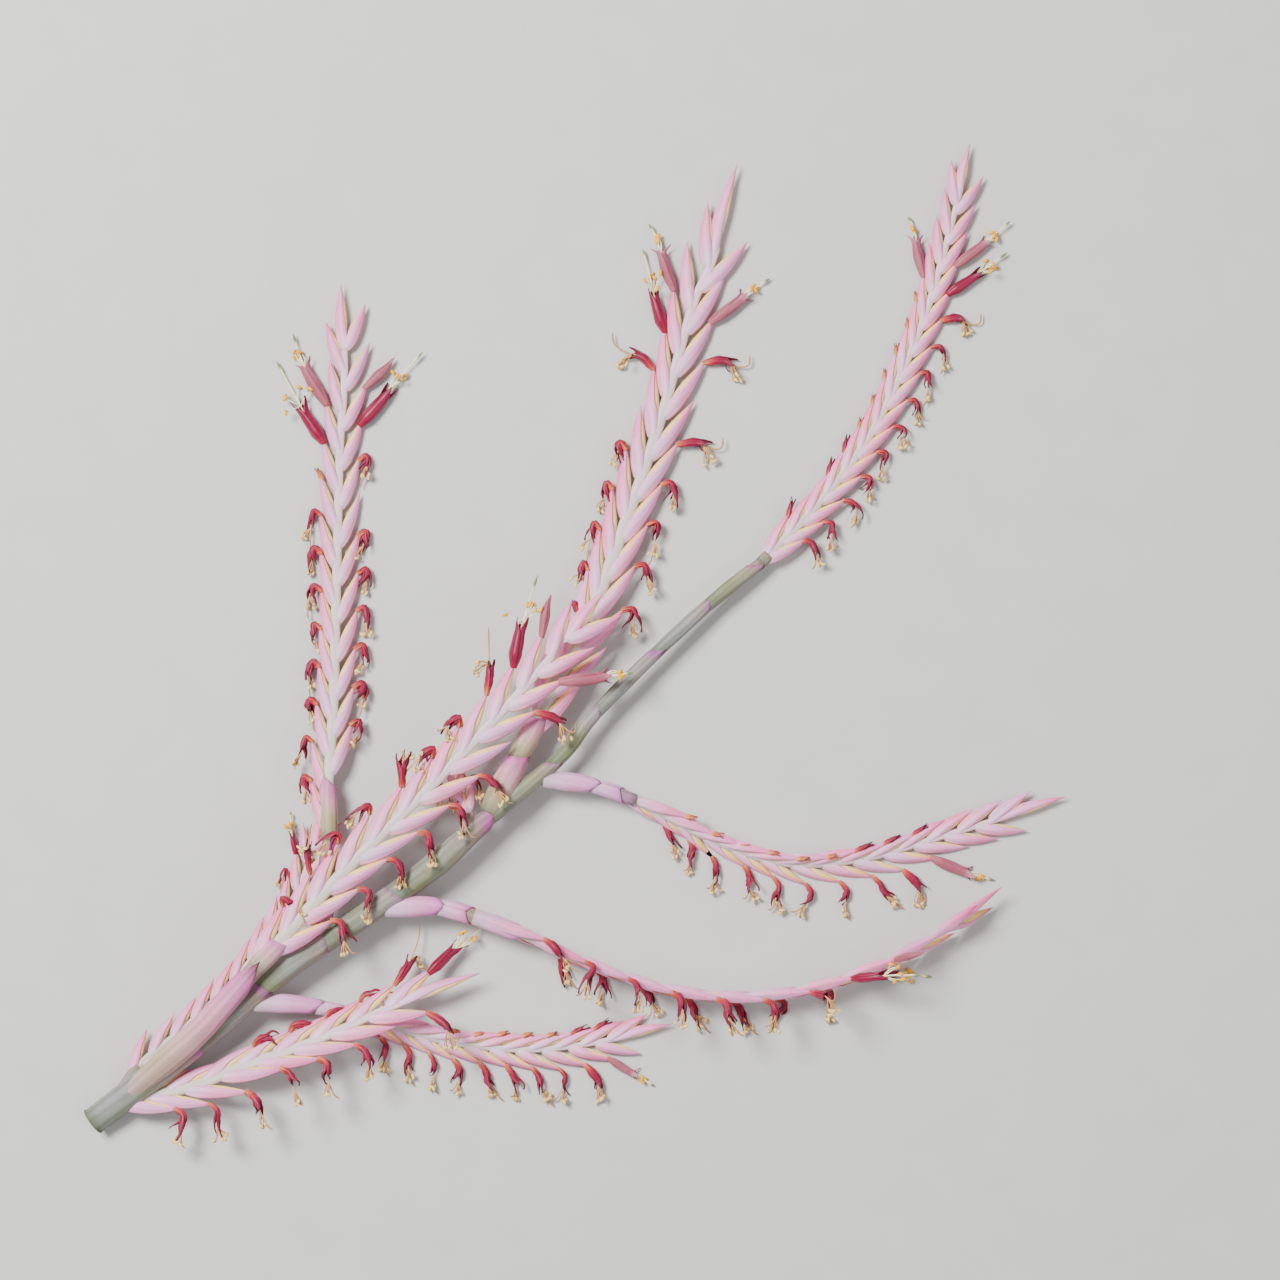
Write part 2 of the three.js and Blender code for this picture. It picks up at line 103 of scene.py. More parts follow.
SPIKES = {
    "a": spike(
        [[-83, -99, 11], [-80, -68.5, 10.5], [-80.5, -50, 8], [-79, -21, 4.2], [-78, 20, 2.6],
         [-77, 59.5, 2.1], [-75.5, 84.5, 2.4], [-76.5, 113, 3]],
        [2.5, 2.4, 2, 1.4], [0, 0], (54.5, 12.15, 0.5), (18, 4.2, 4.5), (19, 24), (0.9, 1.1),
        "left", "ddddddddsofcc", "-dddddd.dobcc", [[18, 1, 90], [37, 0.5, -90], [57, 0.5, 90]]),
    "b": spike(
        [[-147, -149, 6], [-124, -128.5, 13], [-113.5, -117.5, 15.5], [-101.5, -104, 17], [-75, -75, 17.5],
         [-47, -47.5, 17.5], [-20, -19, 17.5], [-1.5, 2, 16.5], [8, 14.5, 15.5]],
        [3, 3, 2.3, 1.5], [0, 0], (85, 13.3, 0.5), (22, 5, 5), (21, 24), (1, 1.1),
        "left", "dddddddwobc", "dddddd.wfcc", [[66, 1.3, 5, 20], [76, 0.4, -90, 3]]),
    "c": spike(
        [[-29, -56.5, 11], [-21, -41.5, 10.5], [-11, -21.5, 9.5], [0, -1.5, 8], [13, 32, 5],
         [26, 70, 3], [36, 105.5, 2.4], [43, 122, 2.7], [50.5, 151.5, 3.2]],
        [3, 3, 2.3, 1.5], [0, 0], (51.2, 13.7, 0.5), (23, 5, 5), (21, 21), (1, 1),
        "right", ".ddddd.wofcc", "..ddddw.wfcc", [[22, 1.4, -70, 4], [36, 0.8, -60, 5]]),
    "e": spike(
        [[-150, -150.5, 5], [-141, -137.5, 3.6], [-124, -123.5, 2.6], [-107, -106, 2.3], [-92, -84.5, 2.3],
         [-84, -63.5, 2.5], [-81.5, -54.5, 2.7]],
        [1.9, 1.8, 1.5, 1], [0, 0], (26, 8.72, 0.5), (14, 3.6, 3.9), (24, 24), (0.6, 0.5),
        "left", "........doc", ".........cc"),
    "f": spike(
        [[58, 23.5, 5], [75.5, 41.5, 3.6], [90, 60, 2.7], [100, 78, 2.3], [111, 104, 1.9],
         [120.5, 137.5, 2.4], [125, 158, 2.8]],
        [2.1, 2, 1.7, 1.1], [0, 0], (15.4, 9.2, 0.28), (16, 3.8, 4.1), (19, 20), (0.75, 0.9),
        "right", "r.rrssssssfcccc", "dddddddddwofccc"),
    "g": spike(
        [[-12, -46, 10], [0, -47, 9], [11.5, -50, 7.5], [25.5, -56.5, 5.5], [38.5, -63.5, 3.8],
         [64, -72.5, 3], [89.5, -71.5, 2.4], [115, -64.5, 1.95], [141, -56.5, 2.4], [156, -51.5, 2.9]],
        [2.2, 2.1, 1.7, 1.1], [60, 50, 25, 5, 0], (43.9, 9.8, 0.5), (17.5, 4, 4.2), (17, 21), (0.85, 0.95),
        "right", "ssssssrrrcccc", "ddddddddwfccc", [[19, 0.9, 90], [30, 0.4, -90]]),
    "h": spike(
        [[-62.5, -87, 11], [-45, -86.5, 10.5], [-25.5, -92.5, 10], [0, -103.5, 9.3], [25.5, -112, 8.8],
         [51, -115, 8.6], [77, -111.5, 8.6], [102.5, -102, 8.6], [125, -88.5, 8.3], [135, -80, 8]],
        [2.6, 2.5, 1.8, 1.2], [70, 82, 86, 80, 60], (54.1, 14.7, 0.3), (21, 4.4, 4.4), (19, 19), (0.95, 0.85),
        "left", "ddddddwobcc", "dddddddoccc", [[20, 0.8, 90], [32, 0.5, -90], [47, 0.4, 90]]),
    "i": spike(
        [[-105, -117.5, 10], [-93, -117.5, 8], [-80, -119.5, 5.4], [-64, -124, 3.6], [-41.5, -130, 2.6],
         [-16, -132.5, 2.3], [9.5, -129.5, 1.9], [29.5, -124.5, 2.4]],
        [2.4, 2.1, 1.6, 1.1], [40, 30, 5, 0], (45.4, 8.1, 0.5), (16, 3.8, 4.1), (20, 23), (0.8, 0.7),
        "right", "..sssssrrcc", "ddddddddwfc", [[24, 0.8, 90], [36, 0.4, -90]]),
    "j": spike(
        [[-148, -149.5, 5], [-124, -144, 7.5], [-109, -138, 9.5], [-85.5, -129.5, 11], [-60.5, -118.5, 11],
         [-41.5, -111, 9.5], [-31.5, -107.5, 9]],
        [2.6, 2.5, 2, 1.3], [-25, -25], (18.5, 12.4, 0.5), (21, 4.8, 4.8), (20, 20), (1, 0.95),
        "right", ".dddddwo", "dddddd.w"),
    "k": spike(
        [[-38, -63, 11], [-35, -58, 11], [-37.5, -51.5, 10.8], [-41, -45.5, 10.5], [-44, -39, 10]],
        [1.8, 1.7, 1.3, 1], [0, 0], (15, 5.6, 0.5), (10, 3, 3.2), (22, 26), (0.6, 0.6),
        "left", "dd", "dd"),
}
print(len(SPIKES), "spikes")

# %% [markdown]
# A spike's axis is a smooth curve through its points. Everything on it is placed by distance along the curve, in
# a small frame of three directions: along the axis, out of its flat face, and to its left. Building on such
# frames, and not on fixed X, Y and Z, lets an arching branch carry its bracts round the bend with it.

# %% Axes and their frames
DENSE = 60


def unit_of(vector):
    """The same direction with a length of one."""
    return vector / np.linalg.norm(vector)


def turned(vector, about, angle):
    """A vector turned about a unit direction by an angle in radians."""
    return (vector * math.cos(angle) + np.cross(about, vector) * math.sin(angle)
            + about * np.dot(about, vector) * (1 - math.cos(angle)))


def blend(values, share):
    """Reads between values that are spaced evenly from 0 to 1."""
    return float(np.interp(share, np.linspace(0, 1, len(values)), values))


def smooth_points(points, dense=DENSE):
    """Many points of a smooth curve that passes through the given ones."""
    control = np.array(points, float)
    held = np.vstack([2 * control[0] - control[1], control, 2 * control[-1] - control[-2]])
    t = np.linspace(0, 1, dense, endpoint=False)[:, None]
    spans = []
    for start in range(len(control) - 1):
        before, low, high, after = held[start:start + 4]
        out_of, into = 0.5 * (high - before), 0.5 * (after - low)
        spans.append((2 * t**3 - 3 * t**2 + 1) * low + (t**3 - 2 * t**2 + t) * out_of
                     + (3 * t**2 - 2 * t**3) * high + (t**3 - t**2) * into)
    return np.vstack(spans + [control[-1:]])


def axis_of(points, rolls):
    """A smooth axis with its length and a function that gives its frame at any distance."""
    dense = smooth_points(points)
    reach = np.concatenate([[0], np.cumsum(np.linalg.norm(np.diff(dense, axis=0), axis=1))])
    slopes = np.gradient(dense, axis=0)
    length = float(reach[-1])

    def frame_at(distance):
        held = min(max(distance, 0.0), length)
        place = np.array([np.interp(held, reach, dense[:, k]) for k in range(3)])
        along = unit_of(np.array([np.interp(held, reach, slopes[:, k]) for k in range(3)]))
        face = unit_of(UP - along * np.dot(UP, along))
        face = turned(face, along, math.radians(blend(rolls, held / length)))
        return {"place": place, "along": along, "face": face, "left": np.cross(face, along)}

    return {"length": length, "at": frame_at}


stem_axis = axis_of(STEM["axis"], [0, 0])
print("the stem is", round(stem_axis["length"], 1), "mm long")

# %% [markdown]
# A unit is one bract with its flower. Its tip stands at a known distance along the axis, it leans out by the
# spread of its rank, and its foot sits a little across the axis, where the feet of both ranks interlock.

# %% Place the bracts
# Growth: bracts get shorter by this share towards the end, and their spread varies by these degrees
SHORTER_AT_END, SPREAD_SWAY = 0.2, 1.5
# A foot lies across the axis and below the bract, as shares of its depth and length
ROOT_ACROSS, FOOT_ACROSS, FOOT_RUN, FOOT_LEAN = 0.3, 0.04, 1.1, 0.8
# Tips reach on along the bract and splay out towards the keel, more so near the spike's end, in mm
TIP_ON, SPLAY, END_SPLAY = 0.8, 0.6, 1.8
# The last bract: where its root and foot lie, and how deep and wide it is, as shares of a common one
END_ROOT, END_FOOT, END_DEPTH, END_WIDTH = 0.72, 0.15, 0.95, 0.8


def sway(repeat, kind):
    """A steady variation from -1 to 1, different for each repeat."""
    return math.sin(7.3 * repeat + 3.1 * kind)


def unit_at(place_frame, out, spread, size, flower, count):
    """One bract's own directions: along it, towards its keel, and square to its side."""
    along = place_frame["along"] * math.cos(spread) + out * math.sin(spread)
    keel = out * math.cos(spread) - place_frame["along"] * math.sin(spread)
    root = place_frame["place"] - out * (ROOT_ACROSS * size["depth"] if spread > 0 else 0)
    return {
        "root": root, "tip": root + along * size["length"], "along": along, "keel": keel,
        "side": place_frame["face"], "size": size, "flower": flower, "count": count,
    }


def settle_foot(unit, foot):
    """Lays a bract between its foot on the axis and its tip, with its own line, rise and flank directions."""
    line = unit_of(unit["tip"] - foot)
    flank = unit_of(unit["side"] - line * np.dot(unit["side"], line))
    rise = np.cross(flank, line)
    if np.dot(rise, unit["keel"]) < 0:
        rise = -rise
    unit.update(foot=foot, line=line, rise=rise, flank=flank, reach=float(np.linalg.norm(unit["tip"] - foot)))
    return unit


def units_of(measures, axis):
    """All bracts of a spike, from foot to tip."""
    first, step, stagger = measures["tips"]
    length, depth, width = measures["bract"]
    spent, standing = measures["flowers"]
    ranks = measures["ranks"]
    order = ["left", "right"] if ranks["first"] == "left" else ["right", "left"]
    units = []
    for pair in range(len(ranks["left"])):
        for second, rank in enumerate(order):
            flower = ranks[rank][pair]
            if flower == "-":
                continue
            reach = first + step * (pair + second * stagger)
            grown = length * (1 - SHORTER_AT_END * (reach / axis["length"]) ** 6)
            spread = math.radians(measures["spread"][rank] + SPREAD_SWAY * sway(pair, second))
            at = axis["at"](reach - grown * math.cos(spread))
            out = at["left"] * (1 if rank == "left" else -1)
            size = {"length": grown, "depth": depth, "width": width, "spent": spent, "standing": standing}
            unit = unit_at(at, out, spread, size, flower, 2 * pair + second)
            splay = SPLAY + END_SPLAY * (reach / axis["length"]) ** 4
            unit["tip"] = unit["tip"] + TIP_ON * unit["along"] + splay * unit["keel"]
            below = axis["at"](reach - FOOT_RUN * grown * math.cos(FOOT_LEAN * spread))
            outward = below["left"] * (1 if rank == "left" else -1)
            units.append(settle_foot(unit, below["place"] - outward * FOOT_ACROSS * depth))
    end_root = first + step * (len(ranks["left"]) - 1 + stagger) - END_ROOT * length
    end = axis["at"](end_root)
    size = {"length": axis["length"] - end_root, "depth": END_DEPTH * depth, "width": END_WIDTH * width,
            "spent": spent, "standing": standing}
    unit = unit_at(end, end["left"], 0, size, "c", 0)
    unit["tip"] = axis["at"](axis["length"])["place"]
    units.append(settle_foot(unit, unit["root"] - unit["along"] * END_FOOT * length))
    return units


AXES = {letter: axis_of(measures["axis"], measures["roll"]) for letter, measures in SPIKES.items()}
UNITS = {letter: units_of(measures, AXES[letter]) for letter, measures in SPIKES.items()}
print(sum(len(units) for units in UNITS.values()), "bracts in all")

# %% [markdown]
# Hundreds of small shapes would be slow as single objects, so a Pile collects the points and faces of all
# shapes of one kind and makes one mesh of them. Each point also keeps where it is on its own leaf: across it
# from margin to margin, along it from foot to tip, and a chance value of its own. The materials read these.

# %% Collect shapes into meshes
def grid_faces(rows, columns, closed=False):
    """Four-sided faces between the points of a grid; closed joins its last column to its first."""
    row, column = np.meshgrid(np.arange(rows - 1), np.arange(columns if closed else columns - 1), indexing="ij")
    here = row * columns + column
    beside = row * columns + (column + 1) % columns
    return np.stack([here, beside, beside + columns, here + columns], axis=-1).reshape(-1, 4)


class Pile:
    """Points and faces of many shapes that become one mesh."""

    def __init__(self):
        self.points, self.faces, self.leaf, self.paint, self.count = [], [], [], [], 0

    def add(self, points, faces, leaf, paint=0):
        flat = points.reshape(-1, 3)
        self.points.append(flat)
        self.faces.append(faces + self.count)
        self.leaf.append(leaf.reshape(-1, 3))
        self.paint.append(np.full(len(faces), paint))
        self.count += len(flat)


def leaf_map(across, along, own):
    """The three leaf values for each point of a grid."""
    wide, tall = np.meshgrid(across, along)
    return np.stack([wide, tall, np.full(wide.shape, own)], axis=-1)


def make_piece(pile, name, materials, nodes):
    """One mesh of a pile, in metres, that stands for the given nodes."""
    points = np.vstack(pile.points) - MIDDLE
    points[:, 2] = np.maximum(points[:, 2], 0.02)
    # Whatever stands above PRESS_FROM is pressed down, so that nothing stands out of the solids' box
    over = np.maximum(points[:, 2] - PRESS_FROM, 0)
    points[:, 2] -= PRESS_BY * over
    mesh = bpy.data.meshes.new(name)
    mesh.from_pydata((points * MM).tolist(), [], np.vstack(pile.faces).tolist())
    mesh.polygons.foreach_set("use_smooth", np.ones(len(mesh.polygons), bool))
    mesh.polygons.foreach_set("material_index", np.concatenate(pile.paint).astype(np.int32))
    leaf = mesh.attributes.new("leaf", "FLOAT_VECTOR", "POINT")
    leaf.data.foreach_set("vector", np.vstack(pile.leaf).astype(np.float32).ravel())
    for material in materials:
        mesh.materials.append(material)
    mesh.update()
    piece = bpy.data.objects.new(name, mesh)
    bpy.context.scene.collection.objects.link(piece)
    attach(piece, "root")
    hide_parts(*nodes)
    return piece


print("grid of 3 by 3 points has", len(grid_faces(3, 3)), "faces")

# %% [markdown]
# A surface this soft is never one colour. Two shader groups give the detail that all its materials share. One
# turns the leaf's own across value into fine nerves that run from foot to tip. The other is the powder of tiny
# scales that makes the plant look chalky: small cloudy patches of light over the colour beneath.

# %% Shared shader groups
def new_group(name, inputs, outputs):
    """An empty shader group with named inputs, given with their kinds and values, and named outputs."""
    tree = bpy.data.node_groups.new(name, "ShaderNodeTree")
    for label, kind, value in inputs:
        socket = tree.interface.new_socket(name=label, in_out="INPUT", socket_type=kind)
        if value is not None:
            socket.default_value = value
    for label, kind in outputs:
        tree.interface.new_socket(name=label, in_out="OUTPUT", socket_type=kind)
    return tree, tree.nodes.new("NodeGroupInput"), tree.nodes.new("NodeGroupOutput")


def add_node(tree, kind, values=(), links=(), **settings):
    """A node with its settings, its input values by name or place, and its incoming links."""
    node = tree.nodes.new(kind)
    for key, value in settings.items():
        setattr(node, key, value)
    for key, value in values:
        node.inputs[key].default_value = value
    for key, source in links:
        tree.links.new(source, node.inputs[key])
    return node


def maths(tree, operation, one, other):
    """The output of a maths node on two sockets or numbers."""
    node = tree.nodes.new("ShaderNodeMath")
    node.operation = operation
    for place, value in enumerate((one, other)):
        if isinstance(value, (int, float)):
            node.inputs[place].default_value = value
        else:
            tree.links.new(value, node.inputs[place])
    return node.outputs[0]


def make_nerves_group():
    """Lengthwise nerves: fine ridges across a leaf that waver a little along it."""
    tree, taken, given = new_group(
        "nerves",
        [("Leaf", "NodeSocketVector", None), ("Count", "NodeSocketFloat", 18.0),
         ("Waver", "NodeSocketFloat", 0.35)],
        [("Mask", "NodeSocketFloat")])
    parts = add_node(tree, "ShaderNodeSeparateXYZ", links=[(0, taken.outputs["Leaf"])])
    stretched = add_node(tree, "ShaderNodeVectorMath", values=[(1, (7.0, 1.6, 31.0))],
                         links=[(0, taken.outputs["Leaf"])], operation="MULTIPLY")
    cloud = add_node(tree, "ShaderNodeTexNoise", values=[("Scale", 1.0), ("Detail", 2.0)],
                     links=[("Vector", stretched.outputs[0])])
    moved = maths(tree, "MULTIPLY", cloud.outputs["Fac"], taken.outputs["Waver"])
    across = maths(tree, "ADD", parts.outputs["X"], moved)
    wave = maths(tree, "SINE", maths(tree, "MULTIPLY", across, taken.outputs["Count"]), 0.0)
    tree.links.new(maths(tree, "ADD", maths(tree, "MULTIPLY", wave, 0.5), 0.5), given.inputs["Mask"])
    return tree


def make_powder_group():
    """Powder: fine grains gathered in soft patches, as a mask."""
    tree, taken, given = new_group(
        "powder",
        [("Scale", "NodeSocketFloat", 900.0), ("Patch", "NodeSocketFloat", 90.0)],
        [("Mask", "NodeSocketFloat"), ("Grain", "NodeSocketFloat")])
    place = add_node(tree, "ShaderNodeTexCoord")
    grain = add_node(tree, "ShaderNodeTexNoise", values=[("Detail", 3.0), ("Roughness", 0.7)],
                     links=[("Vector", place.outputs["Object"]), ("Scale", taken.outputs["Scale"])])
    patch = add_node(tree, "ShaderNodeTexNoise", values=[("Detail", 2.0)],
                     links=[("Vector", place.outputs["Object"]), ("Scale", taken.outputs["Patch"])])
    both = maths(tree, "MULTIPLY", grain.outputs["Fac"], patch.outputs["Fac"])
    tree.links.new(maths(tree, "MULTIPLY", both, 2.4), given.inputs["Mask"])
    tree.links.new(grain.outputs["Fac"], given.inputs["Grain"])
    return tree


NERVES = make_nerves_group()
POWDER = make_powder_group()
print("shared groups:", NERVES.name, "and", POWDER.name)

# %% [markdown]
# All the plant's skins follow one recipe: colours that change from foot to tip, another colour towards the keel
# or the back of the leaf, a share of powder, faint nerves, and a little light let through. The recipe is a
# function, and each skin gives it its own colours, written as red, green and blue the way a screen shows them.

# %% The plant's skins
def screen_colour(red, green, blue):
    """A colour given from 0 to 255 as shown on a screen, turned into the light values that shaders use."""
    def light(part):
        share = part / 255
        return share / 12.92 if share <= 0.04045 else ((share + 0.055) / 1.055) ** 2.4
    return (light(red), light(green), light(blue), 1.0)


def ramp(tree, source, stops):
    """The colour output of a ramp over a socket, with stops as (place, colour)."""
    node = tree.nodes.new("ShaderNodeValToRGB")
    elements = node.color_ramp.elements
    while len(elements) < len(stops):
        elements.new(0.5)
    for element, (place, colour) in zip(elements, stops):
        element.position = place
        element.color = colour if len(colour) == 4 else screen_colour(*colour)
    tree.links.new(source, node.inputs["Fac"])
    return node.outputs["Color"]


def mixed(tree, share, one, other, blend_type="MIX"):
    """A mix of two colours by a socket or number."""
    node = add_node(tree, "ShaderNodeMix", data_type="RGBA", blend_type=blend_type)
    for place, value in ((0, share), (6, one), (7, other)):
        if isinstance(value, (int, float)):
            node.inputs[place].default_value = value
        elif isinstance(value, tuple):
            node.inputs[place].default_value = value
        else:
            tree.links.new(value, node.inputs[place])
    return node.outputs[2]


def skin(name, foot_to_tip, keel, keel_share, powder, powder_share, nerves, rough, through, bump,
         specks=None, stain=None):
    """A plant skin: keel is the colour near the middle line, powder the pale bloom, stain colours in patches."""
    material = bpy.data.materials.new(name)
    material.use_nodes = True
    tree = material.node_tree
    shader = tree.nodes["Principled BSDF"]
    leaf = add_node(tree, "ShaderNodeAttribute", attribute_name="leaf")
    parts = add_node(tree, "ShaderNodeSeparateXYZ", links=[(0, leaf.outputs["Vector"])])
    # A chance shift along the leaf keeps neighbours from matching
    shift = maths(tree, "MULTIPLY", maths(tree, "SUBTRACT", parts.outputs["Z"], 0.5), 0.12)
    colour = ramp(tree, maths(tree, "ADD", parts.outputs["Y"], shift), foot_to_tip)
    # Towards the middle line the colour turns to the keel colour. On the bracts this deeper pink is partly their
    # own colour and partly painted shade on the underside of the fold.
    near_keel = maths(tree, "SUBTRACT", 1.0, maths(tree, "ABSOLUTE", parts.outputs["X"], 0.0))
    keel_tint_and_shade_mask = maths(tree, "MULTIPLY", maths(tree, "POWER", near_keel, 2.4), keel_share)
    colour = mixed(tree, keel_tint_and_shade_mask, colour, screen_colour(*keel))
    if stain:
        cloud = add_node(tree, "ShaderNodeTexNoise", values=[("Scale", 55.0), ("Detail", 3.0)],
                         links=[("Vector", add_node(tree, "ShaderNodeTexCoord").outputs["Object"])])
        patch = add_node(tree, "ShaderNodeMapRange", values=[("From Min", 0.42), ("From Max", 0.66)],
                         links=[("Value", cloud.outputs["Fac"])])
        colour = mixed(tree, maths(tree, "MULTIPLY", patch.outputs[0], stain[1]), colour,
                       screen_colour(*stain[0]))
    nerve = add_node(tree, "ShaderNodeGroup", node_tree=NERVES, values=[("Count", nerves[0])],
                     links=[("Leaf", leaf.outputs["Vector"])])
    colour = mixed(tree, maths(tree, "MULTIPLY", nerve.outputs["Mask"], nerves[1]), colour,
                   screen_colour(*nerves[2]))
    dust = add_node(tree, "ShaderNodeGroup", node_tree=POWDER)
    colour = mixed(tree, maths(tree, "MULTIPLY", dust.outputs["Mask"], powder_share), colour,
                   screen_colour(*powder))
    if specks:
        colour = mixed(tree, speck_mask(tree, specks[0], parts), colour, screen_colour(*specks[1]))
    tree.links.new(colour, shader.inputs["Base Color"])
    tree.links.new(maths(tree, "ADD", maths(tree, "MULTIPLY", dust.outputs["Grain"], 0.2), rough - 0.1),
                   shader.inputs["Roughness"])
    shader.inputs["Subsurface Weight"].default_value = through
    shader.inputs["Subsurface Radius"].default_value = (1.0, 0.45, 0.4)
    shader.inputs["Subsurface Scale"].default_value = 0.0012
    shader.inputs["Sheen Weight"].default_value = 0.12
    shader.inputs["Specular IOR Level"].default_value = 0.3
    height = maths(tree, "ADD", maths(tree, "MULTIPLY", nerve.outputs["Mask"], 0.6),
                   maths(tree, "MULTIPLY", dust.outputs["Grain"], 0.5))
    relief = add_node(tree, "ShaderNodeBump", values=[("Strength", bump), ("Distance", 0.0001)],
                      links=[("Height", height)])
    tree.links.new(relief.outputs["Normal"], shader.inputs["Normal"])
    return material


def speck_mask(tree, place, parts):
    """A small dark point at a sheath's tip: the far end along it, and near its middle line."""
    end = add_node(tree, "ShaderNodeMapRange", values=[("From Min", place), ("From Max", 1.0)],
                   links=[("Value", parts.outputs["Y"])])
    aside = maths(tree, "MULTIPLY", maths(tree, "ABSOLUTE", parts.outputs["X"], 0.0), 7.0)
    near = add_node(tree, "ShaderNodeMapRange", values=[("From Min", 1.0), ("From Max", 0.4)],
                    links=[("Value", aside)])
    return maths(tree, "MULTIPLY", end.outputs[0], near.outputs[0])


# The deep pink keel colour of a bract is partly its own colour and partly painted shade on the underside of the
# fold.
BRACT = skin("bract_skin",
             [(0.0, (206, 204, 190)), (0.12, (228, 206, 220)), (0.3, (250, 166, 200)), (0.62, (252, 122, 176)),
              (0.88, (244, 90, 160)), (1.0, (190, 40, 120))],
             (238, 24, 120), 0.6, (255, 238, 248), 0.2, (16.0, 0.36, (200, 84, 160)), 0.6, 0.16, 0.45,
             stain=((206, 180, 228), 0.45))
CALYX = skin("calyx_skin",
             [(0.0, (232, 222, 170)), (0.4, (254, 222, 130)), (0.8, (248, 176, 104)), (1.0, (214, 80, 84))],
             (252, 176, 146), 0.35, (255, 244, 214), 0.12, (9.0, 0.3, (228, 140, 92)), 0.55, 0.25, 0.3)
SHEATH = skin("sheath_skin",
              [(0.0, (112, 120, 64)), (0.4, (166, 152, 100)), (0.72, (214, 130, 158)), (1.0, (194, 40, 156))],
              (214, 110, 170), 0.22, (246, 240, 238), 0.14, (26.0, 0.4, (112, 88, 56)), 0.6, 0.12, 0.5,
              (0.9, (84, 40, 28)), ((222, 150, 190), 0.35))
PINK_SHEATH = skin("pink_sheath_skin",
                   [(0.0, (170, 170, 150)), (0.3, (222, 178, 204)), (0.7, (240, 134, 180)),
                    (1.0, (200, 60, 160))],
                   (214, 90, 180), 0.3, (250, 240, 248), 0.16, (22.0, 0.36, (190, 90, 160)), 0.6, 0.14, 0.45,
                   (0.92, (120, 50, 60)), ((200, 160, 216), 0.4))
STEM_SHEATH = skin("stem_sheath_skin",
                   [(0.0, (92, 108, 58)), (0.5, (124, 130, 72)), (0.88, (150, 128, 106)),
                    (1.0, (176, 60, 150))],
                   (140, 116, 130), 0.3, (232, 232, 236), 0.08, (26.0, 0.45, (60, 66, 30)), 0.6, 0.08, 0.55,
                   (0.84, (70, 32, 20)), ((140, 136, 166), 0.45))
STALK = skin("stalk_skin",
             [(0.0, (90, 106, 60)), (0.5, (122, 128, 78)), (1.0, (158, 118, 112))],
             (172, 120, 158), 0.3, (236, 238, 230), 0.09, (24.0, 0.42, (66, 78, 40)), 0.62, 0.08, 0.5,
             stain=((164, 108, 168), 0.55))
RACHIS = skin("rachis_skin",
              [(0.0, (196, 192, 168)), (1.0, (222, 188, 206))],
              (216, 190, 208), 0.3, (244, 238, 236), 0.2, (18.0, 0.3, (166, 148, 156)), 0.62, 0.15, 0.35)
CUT_END = skin("cut_end_skin",
               [(0.0, (110, 120, 76)), (0.45, (150, 152, 96)), (0.6, (214, 210, 160)), (1.0, (226, 222, 180))],
               (206, 204, 150), 0.2, (240, 236, 210), 0.3, (30.0, 0.3, (170, 160, 110)), 0.7, 0.1, 0.6)
print("skins:", BRACT.name, CALYX.name, SHEATH.name, STALK.name)

# %% [markdown]
# Petals are thinner and glossier than bracts. An open flower is deep crimson with darker veins, a young one is a
# dusky mauve, and a spent one runs from peach at its foot to a dark wrinkled crimson. Stamens are cream with
# golden anthers, a style ends in a green knob, and all of them turn the colour of straw when they dry.

# %% Petals and stamens
PETAL_OPEN = skin("petal_open",
                  [(0.0, (164, 20, 44)), (0.12, (136, 0, 44)), (0.7, (128, 0, 52)), (1.0, (98, 0, 44))],
                  (156, 0, 66), 0.4, (220, 60, 120), 0.04, (11.0, 0.45, (72, 0, 30)), 0.4, 0.1, 0.5)
PETAL_YOUNG = skin("petal_young",
                   [(0.0, (176, 84, 92)), (0.4, (148, 52, 76)), (0.85, (158, 62, 92)),
                    (1.0, (206, 130, 156))],
                   (132, 40, 66), 0.35, (228, 186, 190), 0.16, (11.0, 0.4, (120, 48, 66)), 0.5, 0.15, 0.4)
PETAL_DRY = skin("petal_dry",
                 [(0.0, (240, 140, 92)), (0.22, (206, 50, 52)), (0.4, (160, 0, 56)), (0.8, (132, 0, 50)),
                  (1.0, (84, 0, 32))],
                 (160, 2, 56), 0.3, (230, 100, 120), 0.05, (13.0, 0.55, (52, 0, 16)), 0.5, 0.08, 0.9)
STUB = skin("stub_skin",
            [(0.0, (244, 180, 120)), (0.4, (216, 106, 50)), (1.0, (126, 52, 26))],
            (226, 120, 70), 0.3, (250, 210, 170), 0.1, (9.0, 0.45, (116, 56, 26)), 0.6, 0.12, 0.7)
FILAMENT = skin("filament_fresh",
                [(0.0, (246, 226, 150)), (0.5, (246, 240, 200)), (0.8, (232, 228, 170)),
                 (0.88, (96, 124, 76))],
                (246, 240, 206), 0.1, (255, 250, 235), 0.06, (4.0, 0.15, (206, 186, 110)), 0.5, 0.15, 0.1)
ANTHER = skin("anther_fresh",
              [(0.0, (232, 150, 0)), (0.5, (246, 182, 0)), (1.0, (228, 140, 0))],
              (250, 196, 0), 0.3, (255, 222, 60), 0.05, (5.0, 0.35, (180, 96, 0)), 0.65, 0.03, 0.6)
FILAMENT_DRY = skin("filament_dry",
                    [(0.0, (214, 160, 96)), (0.5, (186, 128, 66)), (1.0, (150, 92, 44))],
                    (206, 160, 92), 0.3, (250, 226, 180), 0.15, (4.0, 0.25, (126, 72, 32)), 0.65, 0.1, 0.3)
ANTHER_DRY = skin("anther_dry",
                  [(0.0, (216, 168, 86)), (0.5, (244, 210, 126)), (1.0, (204, 152, 74))],
                  (250, 228, 160), 0.4, (255, 240, 200), 0.25, (5.0, 0.5, (140, 86, 34)), 0.75, 0.1, 0.7)
print("petals and stamens ready")

